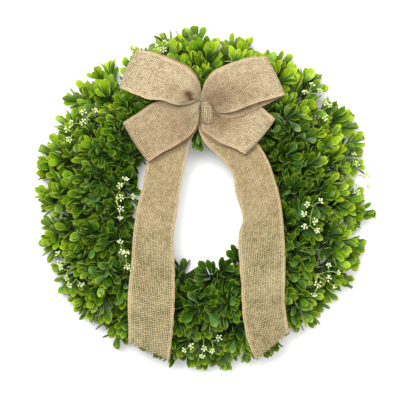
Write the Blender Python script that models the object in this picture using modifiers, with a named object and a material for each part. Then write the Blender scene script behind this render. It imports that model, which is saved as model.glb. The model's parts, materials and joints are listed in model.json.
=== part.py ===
"""Boxwood wreath with a burlap bow, lying on its back with the bow facing +Z. Units are metres.

Three rods of vine, twisted round each other, make the ring that rests on z = 0. Leafy sprays are stuck
in it all round, in five rows that go from the outer rim over the front to the hole. Each spray forks into
two or three twigs, and each twig ends in a whorl of four leaves round a fifth. Sprays of tiny flowers stand
among them. The bow is four loops and two tails of ribbon, gathered in a knot that a wire ties to the ring.
"""

import math
import random

import bmesh
import bpy
from mathutils import Matrix, Vector
from mathutils.bvhtree import BVHTree

SEED = 7
GAP = 0.0004
UP = Vector((0, 0, 1))

# The whole wreath
LEAF_REACH = 0.2525
HOLE_RADIUS = 0.079
FLOOR_CLEARANCE = 0.002

# The ring of vine rods
RING_RADIUS = 0.152
ROD_COUNT = 3
ROD_RADIUS = 0.0069
ROD_SWELL = (0.97, 1.0)
TWIST_RADIUS = 0.0085
TWISTS = 4
LOW_POINT_ANGLE = 71.5
ROD_STEPS = 36
FLAT_DEPTH = 0.0012
RING_HEIGHT = TWIST_RADIUS + ROD_RADIUS - FLAT_DEPTH

# The surface that the twigs' ends lie on is half an ellipse, swept round the wreath
CANOPY_RADIUS = 0.160
CANOPY_HALF_WIDTH = 0.045
CANOPY_BASE = 0.020
CANOPY_HEIGHT = 0.048

# Rows of sprays: where the row lies on the half ellipse, in degrees from the outer rim, how many sprays are
# in it, how far round the first one stands, as a share of the step from one to the next, and how many twigs
# each has
ROWS = (
    ("rim", 6, 9, 0.86, 3),
    ("outer", 50, 8, 0.0, 3),
    ("front", 94, 8, 0.43, 3),
    ("inner", 126, 6, 0.43, 3),
    ("hole", 166, 8, 0.5, 2),
)
ROW_SWAY = 2.0
TWIG_SPREAD = {2: (0.22, 0.26), 3: (0.33, 0.38)}
TWIG_DEPTH = (0.90, 1.10)
MIDDLE_TWIG_TURN = 9
SIDE_TWIG_TURN = 14

# Sprays and their leaves
STEM_HALF = 0.0015
TWIG_HALF = 0.0012
NODE_LENGTH = 0.0026
FOOT_LENGTH = 0.004
FORK_SHARE = 0.4
TWIG_STRAIGHTEN = 0.6
LEAF_LENGTH = 0.046
LEAF_WIDTH = 0.030
LEAF_HALF_THICKNESS = 0.0006
LEAF_FOLD = 0.3
LEAF_OUTLINE = ((0.46, 0.86), (0.83, 0.84))
LEAF_LEAN = {"whorl": math.radians(23), "fork": math.radians(40), "tip": 0.0}
LEAF_SWAY = 0.2
LEAF_CURL = (0.1, 0.6)
LEAF_CLEAR_FROM = 0.4
LEAF_TRIES = 200
STEM_TRIES = 60
RIBBON_CLEARANCE = 0.028

# Flower sprays: the angle round the wreath in degrees, and the middle umbel's distance from the axis and height
FLOWER_SPRAYS = (
    (9, 0.232, 0.050),
    (40, 0.222, 0.066),
    (-8, 0.165, 0.104),
    (-32, 0.214, 0.074),
    (-88, 0.208, 0.078),
    (-152, 0.212, 0.070),
    (-141, 0.132, 0.094),
    (178, 0.112, 0.080),
    (147, 0.205, 0.086),
    (107, 0.222, 0.070),
)
FLOWER_STEM_HALF = 0.0007
BUD_LENGTH = 0.0046
BUD_WIDTH = 0.0028
BUD_OUTLINE = ((0.6, 1.0),)
BUD_LEAN = (18, 34)
UMBEL_SPREAD = 0.015
UMBEL_DROP = 0.004
UMBEL_NODE = 0.0014
FLOWER_FOOT_LENGTH = 0.006
FLOWER_FORK_SHARE = 0.72
FLOWER_TWIG_HALF = 0.00056

# The ribbon
RIBBON_WIDTH = 0.0635
RIBBON_THICKNESS = 0.0012
GATHERED = 0.33
KNOT = Vector((0.009, 0.127, 0.098))
KNOT_HALF_LENGTH = 0.0170
KNOT_HALF_HEIGHT = 0.0076
KNOT_WIDTH = 0.016
END_APART = 0.001

# Bow loops: name, side of the knot, middle of the outer fold in the plane of the wreath, turn of that fold in
# degrees clockwise from +Y, height of the loop's middle over the knot, its half height, and the heights of its
# two strands at the knot
LOOPS = (
    ("upper_left", -1, (-0.098, 0.1895), 26, 0.0150, 0.0075, (0.0046, 0.0028)),
    ("upper_right", 1, (0.108, 0.180), -28, 0.0150, 0.0075, (0.0046, 0.0028)),
    ("lower_left", -1, (-0.090, 0.084), -33, -0.0020, 0.0045, (0.0010, -0.0008)),
    ("lower_right", 1, (0.086, 0.093), 40, -0.0020, 0.0045, (0.0010, -0.0008)),
)
LOOP_STEPS = 15
LOOP_LEAVING = 0.036

# Tails, from the knot down: the middle of the ribbon, and its width as a share of the full one
TAILS = {
    "left": (
        ((0.0080, 0.1270, 0.0954), 0.34),
        ((-0.0030, 0.1265, 0.0944), 0.36),
        ((-0.0170, 0.1180, 0.0866), 0.46),
        ((-0.0320, 0.0960, 0.0835), 0.68),
        ((-0.0410, 0.0700, 0.0840), 0.84),
        ((-0.0495, 0.0300, 0.0850), 0.88),
        ((-0.0590, -0.0150, 0.0870), 0.91),
        ((-0.0645, -0.0600, 0.0930), 0.91),
        ((-0.0660, -0.1050, 0.1000), 0.97),
        ((-0.0680, -0.1550, 0.1020), 1.01),
        ((-0.0705, -0.2150, 0.0960), 1.00),
    ),
    "right": (
        ((0.0100, 0.1270, 0.0954), 0.34),
        ((0.0210, 0.1265, 0.0944), 0.36),
        ((0.0330, 0.1180, 0.0864), 0.46),
        ((0.0450, 0.0960, 0.0833), 0.68),
        ((0.0600, 0.0700, 0.0840), 0.84),
        ((0.0775, 0.0300, 0.0850), 0.89),
        ((0.0874, -0.0150, 0.0870), 0.89),
        ((0.0905, -0.0650, 0.0940), 0.98),
        ((0.0920, -0.1150, 0.1010), 1.00),
        ((0.0940, -0.1650, 0.1010), 0.97),
        ((0.1030, -0.2200, 0.0960), 0.93),
    ),
}
TAIL_STEPS = 15
TAIL_REACH = 0.965
TAIL_CUT = {"left": -0.062, "right": 0.066}

# The wire that ties the bow on, from the knot: a closed loop through the back of the knot and round the ring
WIRE_RADIUS = 0.0007
WIRE_BEND = (
    (-0.0089, 0.0000, -0.0058),
    (0.0000, 0.0000, -0.0056),
    (0.0089, 0.0000, -0.0058),
    (0.0107, 0.0006, -0.0085),
    (0.0115, 0.0020, -0.0150),
    (0.0095, 0.0145, -0.0380),
    (0.0050, 0.0320, -0.0700),
    (0.0025, 0.0406, -0.0860),
    (0.0015, 0.0386, -0.0938),
    (0.0005, 0.0300, -0.0964),
    (-0.0005, 0.0190, -0.0964),
    (-0.0015, 0.0110, -0.0938),
    (-0.0030, 0.0088, -0.0860),
    (-0.0060, 0.0050, -0.0600),
    (-0.0095, 0.0020, -0.0320),
    (-0.0115, 0.0008, -0.0150),
    (-0.0107, 0.0002, -0.0085),
)
WIRE_STEPS = 30

CORNERS = ((-1, -1), (1, -1), (1, 1), (-1, 1))


def clear_scene():
    for thing in list(bpy.data.objects):
        bpy.data.objects.remove(thing, do_unlink=True)


def make_material(name, colour, roughness):
    material = bpy.data.materials.new(name)
    material.use_nodes = True
    shader = material.node_tree.nodes["Principled BSDF"]
    shader.inputs["Base Color"].default_value = (*colour, 1)
    shader.inputs["Roughness"].default_value = roughness
    shader.inputs["Metallic"].default_value = 0
    material.diffuse_color = (*colour, 1)
    return material


def add_object(name, mesh, material, collection, place=(0, 0, 0)):
    """An object whose mesh is given in world coordinates and whose origin goes to place."""
    mesh.transform(Matrix.Translation(-Vector(place)))
    mesh.materials.append(material)
    thing = bpy.data.objects.new(name, mesh)
    thing.location = place
    collection.objects.link(thing)
    return thing


def mesh_from(bm, name):
    bmesh.ops.recalc_face_normals(bm, faces=bm.faces)
    mesh = bpy.data.meshes.new(name)
    bm.to_mesh(mesh)
    bm.free()
    return mesh


def tree_of(thing):
    """A collision tree of an object's evaluated mesh, in world coordinates."""
    depsgraph = bpy.context.evaluated_depsgraph_get()
    mesh = thing.evaluated_get(depsgraph).to_mesh()
    points = [thing.matrix_world @ v.co for v in mesh.vertices]
    return BVHTree.FromPolygons(points, [tuple(p.vertices) for p in mesh.polygons])


def catmull_rom(points, share):
    """The point at a share from 0 to 1 along a smooth curve through the given vectors."""
    place = min(max(share, 0.0), 1.0) * (len(points) - 1)
    k = min(int(place), len(points) - 2)
    t = place - k
    before = points[max(k - 1, 0)]
    a, b = points[k], points[k + 1]
    after = points[min(k + 2, len(points) - 1)]
    square, cube = 2 * before - 5 * a + 4 * b - after, 3 * a - before - 3 * b + after
    return 0.5 * (2 * a + (b - before) * t + square * t**2 + cube * t**3)


def closed_curve(points, count):
    """count points along a smooth closed curve through the given vectors."""
    padded = [points[-1], *points, points[0], points[1]]
    first, span = 1 / (len(padded) - 1), len(points) / (len(padded) - 1)
    return [catmull_rom(padded, first + span * i / count) for i in range(count)]


def tube(name, points, radius, sides_level, swell=None):
    """The mesh of a closed round tube along points; swell gives each point's own share of the radius."""
    curve = bpy.data.curves.new(name, "CURVE")
    curve.dimensions = "3D"
    curve.bevel_depth = radius
    curve.bevel_resolution = sides_level
    spline = curve.splines.new("POLY")
    spline.points.add(len(points) - 1)
    for i, place in enumerate(points):
        spline.points[i].co = (*place, 1)
        spline.points[i].radius = swell[i] if swell else 1
    spline.use_cyclic_u = True
    holder = bpy.data.objects.new(name, curve)
    bpy.context.scene.collection.objects.link(holder)
    depsgraph = bpy.context.evaluated_depsgraph_get()
    mesh = bpy.data.meshes.new_from_object(holder.evaluated_get(depsgraph))
    bpy.data.objects.remove(holder, do_unlink=True)
    bpy.data.curves.remove(curve)
    return mesh


def around(degrees):
    """Unit vectors outwards and along the ring, at an angle round the wreath."""
    turn = math.radians(degrees)
    return Vector((math.cos(turn), math.sin(turn), 0)), Vector((-math.sin(turn), math.cos(turn), 0))


def vine_rod(number, material, collection):
    """One rod: a helix round the ring's own circle, with flats where it meets the surface it rests on."""
    draw = random.Random(SEED + number)
    points = []
    for i in range(ROD_STEPS):
        degrees = 360 * (i + 0.5) / ROD_STEPS
        out, _ = around(degrees)
        phase = math.radians(TWISTS * (degrees - LOW_POINT_ANGLE) + 360 * number / ROD_COUNT - 90)
        offset = out * math.cos(phase) * TWIST_RADIUS + UP * math.sin(phase) * TWIST_RADIUS
        points.append(out * RING_RADIUS + UP * RING_HEIGHT + offset)
    swell = [draw.uniform(*ROD_SWELL) for _ in points]
    bm = bmesh.new()
    bm.from_mesh(tube("rod", points, ROD_RADIUS, 1, swell))
    whole = bm.verts[:] + bm.edges[:] + bm.faces[:]
    cut = bmesh.ops.bisect_plane(bm, geom=whole, plane_co=(0, 0, 0), plane_no=(0, 0, -1), clear_outer=True)
    rim = [edge for edge in cut["geom_cut"] if isinstance(edge, bmesh.types.BMEdge)]
    bmesh.ops.holes_fill(bm, edges=rim)
    mesh = mesh_from(bm, f"vine_rod_{number + 1}")
    mesh.shade_smooth()
    mesh.set_sharp_from_angle(angle=math.radians(50))
    return add_object(f"vine_rod_{number + 1}", mesh, material, collection)


def ribbon(name, station_at, steps, across, material, collection, closed=False):
    """A length of ribbon. station_at gives its middle, side direction and width at a share along it."""
    bm = bmesh.new()
    bmesh.ops.create_grid(bm, x_segments=steps, y_segments=across, size=0.5)
    for vert in bm.verts:
        middle, side, width = station_at(vert.co.x + 0.5, vert.co.y)
        vert.co = middle + side * width * vert.co.y
    if closed:
        bmesh.ops.remove_doubles(bm, verts=bm.verts, dist=0.0001)
    bmesh.ops.triangulate(bm, faces=bm.faces)
    thing = add_object(name, mesh_from(bm, name), material, collection, KNOT)
    thickness = thing.modifiers.new("thickness", "SOLIDIFY")
    thickness.thickness = RIBBON_THICKNESS
    thickness.offset = 0
    thickness.use_even_offset = False
    return thing


def bow_loop(spec, material, collection):
    """A loop: out from the knot in front, round the outer fold, and back behind."""
    name, hand, fold, turn, level, half_height, strands = spec
    start = Vector((KNOT.x + hand * END_APART, KNOT.y, 0))
    leaving = start + Vector((hand * LOOP_LEAVING, 0, 0))
    outer = Vector((*fold, 0))
    at_fold = Vector((math.sin(math.radians(turn)), math.cos(math.radians(turn)), 0))
    front, back = strands
    profile = [
        Vector((0.0, front, GATHERED)),
        Vector((0.08, front, GATHERED)),
        Vector((0.16, front + (level - front) * 0.05, GATHERED)),
        Vector((0.27, front + (level - front) * 0.50, GATHERED * 2.1)),
        Vector((0.44, level + half_height * 0.85, 1.0)),
        Vector((0.72, level + half_height, 1.0)),
        Vector((0.94, level + half_height * 0.75, 0.96)),
        Vector((1.0, level, 0.95)),
        Vector((0.94, level - half_height * 0.75, 0.96)),
        Vector((0.72, level - half_height, 1.0)),
        Vector((0.44, level - half_height * 0.85, 1.0)),
        Vector((0.27, back + (level - half_height - back) * 0.50, GATHERED * 2.1)),
        Vector((0.16, back + (level - half_height - back) * 0.05, GATHERED)),
        Vector((0.08, back, GATHERED)),
        Vector((0.0, back, GATHERED)),
    ]

    def station_at(share, _):
        along, height, width = catmull_rom(profile, share)
        rest = 1 - along
        middle = start * rest**2 + leaving * 2 * rest * along + outer * along**2
        ahead = (leaving - start) * rest + (outer - leaving) * along
        square_on = Vector((-ahead.y, ahead.x, 0)).normalized() * hand
        side = square_on.lerp(at_fold, min(1.0, max(0.0, along)) ** 2).normalized()
        return middle + UP * (KNOT.z + height), side, RIBBON_WIDTH * width

    return ribbon(f"bow_loop_{name}", station_at, LOOP_STEPS, 1, material, collection)


def bow_tail(name, material, collection):
    """A tail, hanging from the knot over the hole and the lower leaves, with its end cut aslant."""
    middles = [Vector(place) for place, _ in TAILS[name]]
    widths = [Vector((share, 0)) for _, share in TAILS[name]]

    def station_at(share, across):
        place = share * (TAIL_REACH + TAIL_CUT[name] * across * share)
        middle = catmull_rom(middles, place)
        ahead = catmull_rom(middles, min(1.0, place + 0.02)) - catmull_rom(middles, max(0.0, place - 0.02))
        return middle, ahead.cross(UP).normalized(), RIBBON_WIDTH * catmull_rom(widths, place).x

    return ribbon(f"bow_tail_{name}", station_at, TAIL_STEPS, 1, material, collection)


def bow_knot(material, collection):
    """The band of ribbon round the gathered middle, a closed flat ring."""

    def station_at(share, _):
        turn = 2 * math.pi * share
        flat, tall = math.cos(turn), math.sin(turn)
        offset = Vector((0, math.copysign(abs(flat) ** 0.45, flat) * KNOT_HALF_LENGTH, 0))
        offset.z = math.copysign(abs(tall) ** 0.6, tall) * KNOT_HALF_HEIGHT
        return KNOT + offset, Vector((1, 0, 0)), KNOT_WIDTH

    return ribbon("bow_knot", station_at, 16, 1, material, collection, closed=True)


def bow_wire(material, collection):
    points = closed_curve([KNOT + Vector(bend) for bend in WIRE_BEND], WIRE_STEPS)
    mesh = tube("bow_wire", points, WIRE_RADIUS, 0)
    mesh.shade_smooth()
    return add_object("bow_wire", mesh, material, collection, KNOT)


def frame(place, forward, across):
    """A matrix at place with Z along forward and X as near to across as that allows."""
    z = forward.normalized()
    x = (across - z * across.dot(z)).normalized()
    return Matrix.Translation(place) @ Matrix((x, z.cross(x), z)).transposed().to_4x4()


def square(at, half):
    return [at @ Vector((half * i, half * j, 0)) for i, j in CORNERS]


def diamond(at, half_width, half_thickness, fold):
    """The left edge, underside, right edge and upper side of a leaf's section."""
    lift = fold * half_width
    corners = ((-half_width, lift), (0, -half_thickness), (half_width, lift), (0, half_thickness))
    return [at @ Vector((x, y, 0)) for x, y in corners]


def loft_faces(rings, pointed):
    """Triangles over rings of four points, split alike on both faces, and on to a last point if pointed."""
    faces = []
    for first in range(0, 4 * (rings - 1), 4):
        for i in range(4):
            j = (i + 1) % 4
            a, b, c, d = first + i, first + j, first + 4 + j, first + 4 + i
            faces += [(a, b, c), (a, c, d)] if i % 2 == 0 else [(a, b, d), (b, c, d)]
    if pointed:
        last = 4 * (rings - 1)
        faces += [(last + i, last + (i + 1) % 4, last + 4) for i in range(4)]
    return faces


def skin(bm, ring, points, pointed):
    """Lofts from a ring of vertices on through points, four at a time, and returns the last ring."""
    verts = ring + [bm.verts.new(p) for p in points]
    for face in loft_faces(len(verts) // 4, pointed):
        bm.faces.new([verts[i] for i in face])
    return verts[-4:]


def close(bm, ring):
    bm.faces.new((ring[0], ring[1], ring[2]))
    bm.faces.new((ring[0], ring[2], ring[3]))


def node(bm, ring, at, half, height):
    """A short length of stem left open: its top and four sides, each a ring of vertices and an outward frame."""
    top_at = at @ Matrix.Translation((0, 0, height))
    top = [bm.verts.new(p) for p in square(top_at, half)]
    sides = []
    for i in range(4):
        j = (i + 1) % 4
        turn = Matrix.Rotation(math.radians(90 * i), 4, "Z")
        face_out = Matrix.Translation((0, -half, height / 2)) @ Matrix.Rotation(math.radians(90), 4, "X")
        sides.append(([ring[i], ring[j], top[j], top[i]], at @ turn @ face_out))
    return (top, top_at), sides


def blade(at, length, width, outline, half_thickness, fold, curl, margin=0.0):
    """The sections and tip of a leaf or bud that grows along the frame's Z with its upper side to +Y."""
    points, along = [], 0.0
    for share, breadth in outline:
        step = Matrix.Translation((0, 0, (share - along) * length))
        at = at @ step @ Matrix.Rotation(curl * (share - along), 4, "X")
        points += diamond(at, breadth * width / 2 + margin, half_thickness + margin, fold)
        along = share
    return [*points, at @ Vector((0, 0, (1 - along) * length + margin))]


def crossing(faces, tree, other_faces, other_tree):
    """Whether faces of two trees cross that share no vertex."""
    return any(not set(faces[a]) & set(other_faces[b]) for a, b in tree.overlap(other_tree))


def foot_frame(ring_tree, degrees, height_angle):
    """Where a stem leaves the vine: on the rods' surface, looking from outside at the ring's own circle."""
    out, along = around(degrees)
    ray = out * math.cos(math.radians(height_angle)) + UP * math.sin(math.radians(height_angle))
    core = out * RING_RADIUS + UP * RING_HEIGHT
    place, normal, _, _ = ring_tree.ray_cast(core + ray * 0.05, -ray)
    return frame(place + normal * GAP, normal, along)


class Spray:
    """A spray while it grows: its mesh, the open places on its stems, and a tree of the stems alone."""

    def __init__(self, name, foot, half):
        self.name = name
        self.foot = foot
        self.bm = bmesh.new()
        self.sockets = []
        ring = [self.bm.verts.new(p) for p in square(foot, half)]
        close(self.bm, ring[::-1])
        self.ring = ring

    def stem(self, ring, at, half):
        return skin(self.bm, ring, square(at, half), False)

    def refresh(self):
        """A tree of the spray as it is now, with its open places closed."""
        self.bm.verts.index_update()
        points = [vert.co.copy() for vert in self.bm.verts]
        self.faces = [[vert.index for vert in face.verts] for face in self.bm.faces]
        self.faces += [[vert.index for vert in ring] for ring, _, _ in self.sockets]
        self.tree = BVHTree.FromPolygons(points, self.faces)

    def crossed_by(self, ring, points, faces):
        """Whether a blade that starts at a ring of the spray's own vertices crosses the spray or itself."""
        names = [vert.index for vert in ring] + [-i for i in range(1, len(points) + 1)]
        named = [[names[i] for i in face] for face in faces]
        tree = BVHTree.FromPolygons([vert.co for vert in ring] + points, faces)
        return crossing(named, tree, self.faces, self.tree) or crossing(named, tree, named, tree)

    def clears(self, others):
        """Whether the spray crosses neither itself nor any of the others."""
        if crossing(self.faces, self.tree, self.faces, self.tree):
            return False
        return not any(self.tree.overlap(tree) for tree in others)


def leafy_stems(name, foot, goals):
    """The stem from the foot to the fork, and the twigs from the fork to the goals: two on its sides, one ahead."""
    spray = Spray(name, foot, STEM_HALF)
    start = foot.translation + foot.col[2].xyz * FOOT_LENGTH
    middle = sum(goals, Vector()) / len(goals)
    fork_place = start.lerp(middle, FORK_SHARE)
    fork = frame(fork_place, middle - start, foot.col[0].xyz)
    ring = spray.stem(spray.ring, fork, STEM_HALF)
    top, sides = node(spray.bm, ring, fork, STEM_HALF, NODE_LENGTH)
    spray.sockets += [(*sides[0], "fork"), (*sides[2], "fork")]
    if len(goals) == 2:
        spray.sockets.append((*top, "tip"))
    outwards = (middle - fork_place).normalized()
    for (ring, at), goal in zip((sides[1], sides[3], top), goals):
        reach = (goal - at.translation).normalized()
        end = frame(goal, reach + outwards * TWIG_STRAIGHTEN, at.col[0].xyz)
        ring = spray.stem(ring, end, TWIG_HALF)
        tip, whorl = node(spray.bm, ring, end, TWIG_HALF, NODE_LENGTH)
        spray.sockets += [(*side, "whorl") for side in whorl]
        spray.sockets.append((*tip, "tip"))
    spray.refresh()
    return spray


def canopy_point(degrees, row_angle, depth):
    """A point under the leaves' outer surface; depth is its share of the way from the ellipse's middle."""
    out, _ = around(degrees)
    turn = math.radians(row_angle)
    radius = CANOPY_RADIUS + math.cos(turn) * CANOPY_HALF_WIDTH * depth
    return out * radius + UP * (CANOPY_BASE + math.sin(turn) * CANOPY_HEIGHT * depth)


def below_ribbon(place, ribbon_trees, clearance):
    """The place, lowered where a ribbon passes over it."""
    lowered = place.copy()
    for tree in ribbon_trees:
        for shift in (Vector((0, 0, 0)), Vector((0.012, 0, 0)), Vector((-0.012, 0, 0))):
            hit, _, _, _ = tree.ray_cast(Vector((*place.xy, -0.01)) + shift, UP)
            if hit:
                lowered.z = min(lowered.z, hit.z - clearance)
    return lowered


def grow_row(row, ring_tree, ribbon_trees, obstacles, draw):
    """The stems of one row of sprays, redrawn until they clear everything already placed."""
    name, row_angle, count, first, twigs = row
    sprays = []
    step = 360 / count
    for number in range(count):
        for attempt in range(STEM_TRIES):
            sway = ROW_SWAY * (1 + 4 * attempt / STEM_TRIES)
            middle = step * (number + first) + draw.uniform(-sway, sway)
            foot = foot_frame(ring_tree, middle + draw.uniform(-sway, sway), row_angle)
            goals = []
            for side in (1, -1, 0)[:twigs]:
                turn = SIDE_TWIG_TURN if side else MIDDLE_TWIG_TURN
                angle = min(max(row_angle + draw.uniform(-turn, turn), 0), 180)
                degrees = middle + side * step * draw.uniform(*TWIG_SPREAD[twigs])
                place = canopy_point(degrees, angle, draw.uniform(*TWIG_DEPTH))
                goals.append(below_ribbon(place, ribbon_trees, RIBBON_CLEARANCE))
            spray = leafy_stems(f"spray_{name}_{number + 1:02d}", foot, goals)
            if spray.clears(obstacles + [kept.tree for kept in sprays]):
                sprays.append(spray)
                break
            spray.bm.free()
    return sprays


def flower_spray(number, spec, ring_tree, obstacles, draw):
    """A thin stem that branches to three umbels of buds."""
    degrees, radius, height = spec
    out, _ = around(degrees)
    goal = out * radius + UP * height
    lean = math.degrees(math.atan2(goal.z - RING_HEIGHT, radius - RING_RADIUS))
    for attempt in range(STEM_TRIES):
        height_angle = min(max(lean + draw.uniform(-2, 2) * attempt, 6), 174)
        foot = foot_frame(ring_tree, degrees + draw.uniform(-1, 1) * (2 + attempt), height_angle)
        spray = Spray(f"flower_spray_{number + 1:02d}", foot, FLOWER_STEM_HALF)
        start = foot.translation + foot.col[2].xyz * FLOWER_FOOT_LENGTH
        ring = spray.stem(spray.ring, frame(start, goal - start, foot.col[0].xyz), FLOWER_STEM_HALF)
        fork_place = start.lerp(goal, FLOWER_FORK_SHARE)
        fork = frame(fork_place, goal - start, foot.col[0].xyz)
        ring = spray.stem(ring, fork, FLOWER_STEM_HALF)
        top, sides = node(spray.bm, ring, fork, FLOWER_STEM_HALF, UMBEL_NODE)
        for side in (0, 2):
            close(spray.bm, sides[side][0])
        for (ring, at), side in zip((top, sides[1], sides[3]), (0, 1, -1)):
            sideways = fork.col[0].xyz * side * UMBEL_SPREAD * draw.uniform(0.8, 1.2)
            rise = fork.col[1].xyz * draw.uniform(-0.006, 0.006) - fork.col[2].xyz * abs(side) * UMBEL_DROP
            place = goal + sideways + rise
            end = frame(place, place - at.translation, at.col[0].xyz)
            ring = spray.stem(ring, end, FLOWER_TWIG_HALF)
            tip, whorl = node(spray.bm, ring, end, FLOWER_TWIG_HALF, UMBEL_NODE)
            spray.sockets += [(*side_socket, "bud") for side_socket in whorl]
            close(spray.bm, tip[0])
        for ring, at, _ in spray.sockets:
            aim = at @ Matrix.Rotation(math.radians(-draw.uniform(*BUD_LEAN)), 4, "X")
            length = BUD_LENGTH * draw.uniform(0.85, 1.1)
            skin(spray.bm, ring, blade(aim, length, BUD_WIDTH, BUD_OUTLINE, BUD_WIDTH / 2, 0, 0), True)
        spray.sockets.clear()
        spray.refresh()
        if spray.clears(obstacles):
            return spray
        spray.bm.free()
    return None


def roomy(points):
    """Whether a leaf's points stay inside the wreath's outline, out of its hole and off the surface below."""
    radii = [p.xy.length for p in points]
    lowest = min(p.z for p in points)
    return min(radii) > HOLE_RADIUS and max(radii) < LEAF_REACH and lowest > FLOOR_CLEARANCE


def grow_leaf(spray, socket, others, draw):
    """One leaf from an open place on a stem, redrawn until it crosses nothing; else the place is closed."""
    ring, at, kind = socket
    root = [vert.co.copy() for vert in ring]
    faces = loft_faces(3, True)
    for attempt in range(LEAF_TRIES):
        sway = LEAF_SWAY * (1 + 3 * attempt / LEAF_TRIES)
        lean, yaw, roll = (draw.uniform(-sway, sway) for _ in range(3))
        aim = at @ Matrix.Rotation(-LEAF_LEAN[kind] - lean, 4, "X")
        aim = aim @ Matrix.Rotation(yaw, 4, "Y") @ Matrix.Rotation(roll, 4, "Z")
        shrink = 1 - 0.3 * attempt / LEAF_TRIES
        length = LEAF_LENGTH * draw.uniform(0.88, 1.08) * shrink
        width = LEAF_WIDTH * draw.uniform(0.9, 1.05) * shrink
        form = (aim, length, width, LEAF_OUTLINE, LEAF_HALF_THICKNESS, LEAF_FOLD, draw.uniform(*LEAF_CURL))
        points = blade(*form)
        if not roomy(points):
            continue
        wide = blade(*form, margin=GAP)
        past_root = [a.lerp(b, LEAF_CLEAR_FROM) for a, b in zip(root, wide)]
        if spray.crossed_by(ring, points, faces):
            continue
        if BVHTree.FromPolygons(past_root + wide, faces).overlap(spray.tree):
            continue
        whole = BVHTree.FromPolygons(root + wide, faces)
        if any(whole.overlap(tree) for tree in others):
            continue
        skin(spray.bm, ring, points, True)
        spray.sockets.remove(socket)
        spray.refresh()
        return True
    close(spray.bm, ring)
    spray.sockets.remove(socket)
    return False


def centre(things):
    """Moves everything so that the whole stands over the origin."""
    bpy.context.view_layer.update()
    corners = [thing.matrix_world @ Vector(corner) for thing in things for corner in thing.bound_box]
    middle_x = (min(c.x for c in corners) + max(c.x for c in corners)) / 2
    middle_y = (min(c.y for c in corners) + max(c.y for c in corners)) / 2
    for thing in things:
        thing.location -= Vector((middle_x, middle_y, 0))


def main():
    clear_scene()
    draw = random.Random(SEED)
    wreath = bpy.data.collections.new("boxwood_wreath")
    bpy.context.scene.collection.children.link(wreath)
    vine = make_material("vine", (0.12, 0.07, 0.035), 0.85)
    leaf = make_material("leaf", (0.10, 0.20, 0.02), 0.45)
    flower = make_material("flower", (0.72, 0.74, 0.42), 0.6)
    burlap = make_material("burlap", (0.48, 0.37, 0.20), 0.95)
    wire = make_material("wire", (0.05, 0.09, 0.04), 0.5)

    rods = [vine_rod(number, vine, wreath) for number in range(ROD_COUNT)]
    loops = [bow_loop(spec, burlap, wreath) for spec in LOOPS]
    tails = [bow_tail(name, burlap, wreath) for name in TAILS]
    knot = bow_knot(burlap, wreath)
    tie = bow_wire(wire, wreath)
    bpy.context.view_layer.update()

    rod_trees = [tree_of(rod) for rod in rods]
    points, faces = [], []
    depsgraph = bpy.context.evaluated_depsgraph_get()
    for rod in rods:
        mesh = rod.evaluated_get(depsgraph).to_mesh()
        faces += [tuple(i + len(points) for i in p.vertices) for p in mesh.polygons]
        points += [v.co.copy() for v in mesh.vertices]
    ring_tree = BVHTree.FromPolygons(points, faces)
    ribbon_trees = [tree_of(thing) for thing in loops + tails]
    fixed = rod_trees + ribbon_trees + [tree_of(knot), tree_of(tie)]

    flowers = []
    for number, spec in enumerate(FLOWER_SPRAYS):
        spray = flower_spray(number, spec, ring_tree, fixed, draw)
        if spray:
            flowers.append(spray)
            fixed.append(spray.tree)
    sprays = []
    for row in ROWS:
        sprays += grow_row(row, ring_tree, ribbon_trees, fixed + [spray.tree for spray in sprays], draw)
    for kind in ("whorl", "tip", "fork"):
        for spray in sprays:
            others = fixed + [other.tree for other in sprays if other is not spray]
            for socket in [s for s in spray.sockets if s[2] == kind]:
                grow_leaf(spray, socket, others, draw)

    for spray, material in [(s, flower) for s in flowers] + [(s, leaf) for s in sprays]:
        place = spray.foot.translation
        add_object(spray.name, mesh_from(spray.bm, spray.name), material, wreath, place)
    centre(list(wreath.objects))


main()
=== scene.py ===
"""Boxwood wreath with flower sprays and a burlap bow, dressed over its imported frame. Units are metres."""
import json
import math
import random

import bmesh
import bpy
import numpy as np
from bpy.props import FloatProperty, FloatVectorProperty, IntProperty, PointerProperty
from mathutils import Matrix, Quaternion, Vector
from mathutils.bvhtree import BVHTree

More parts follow.
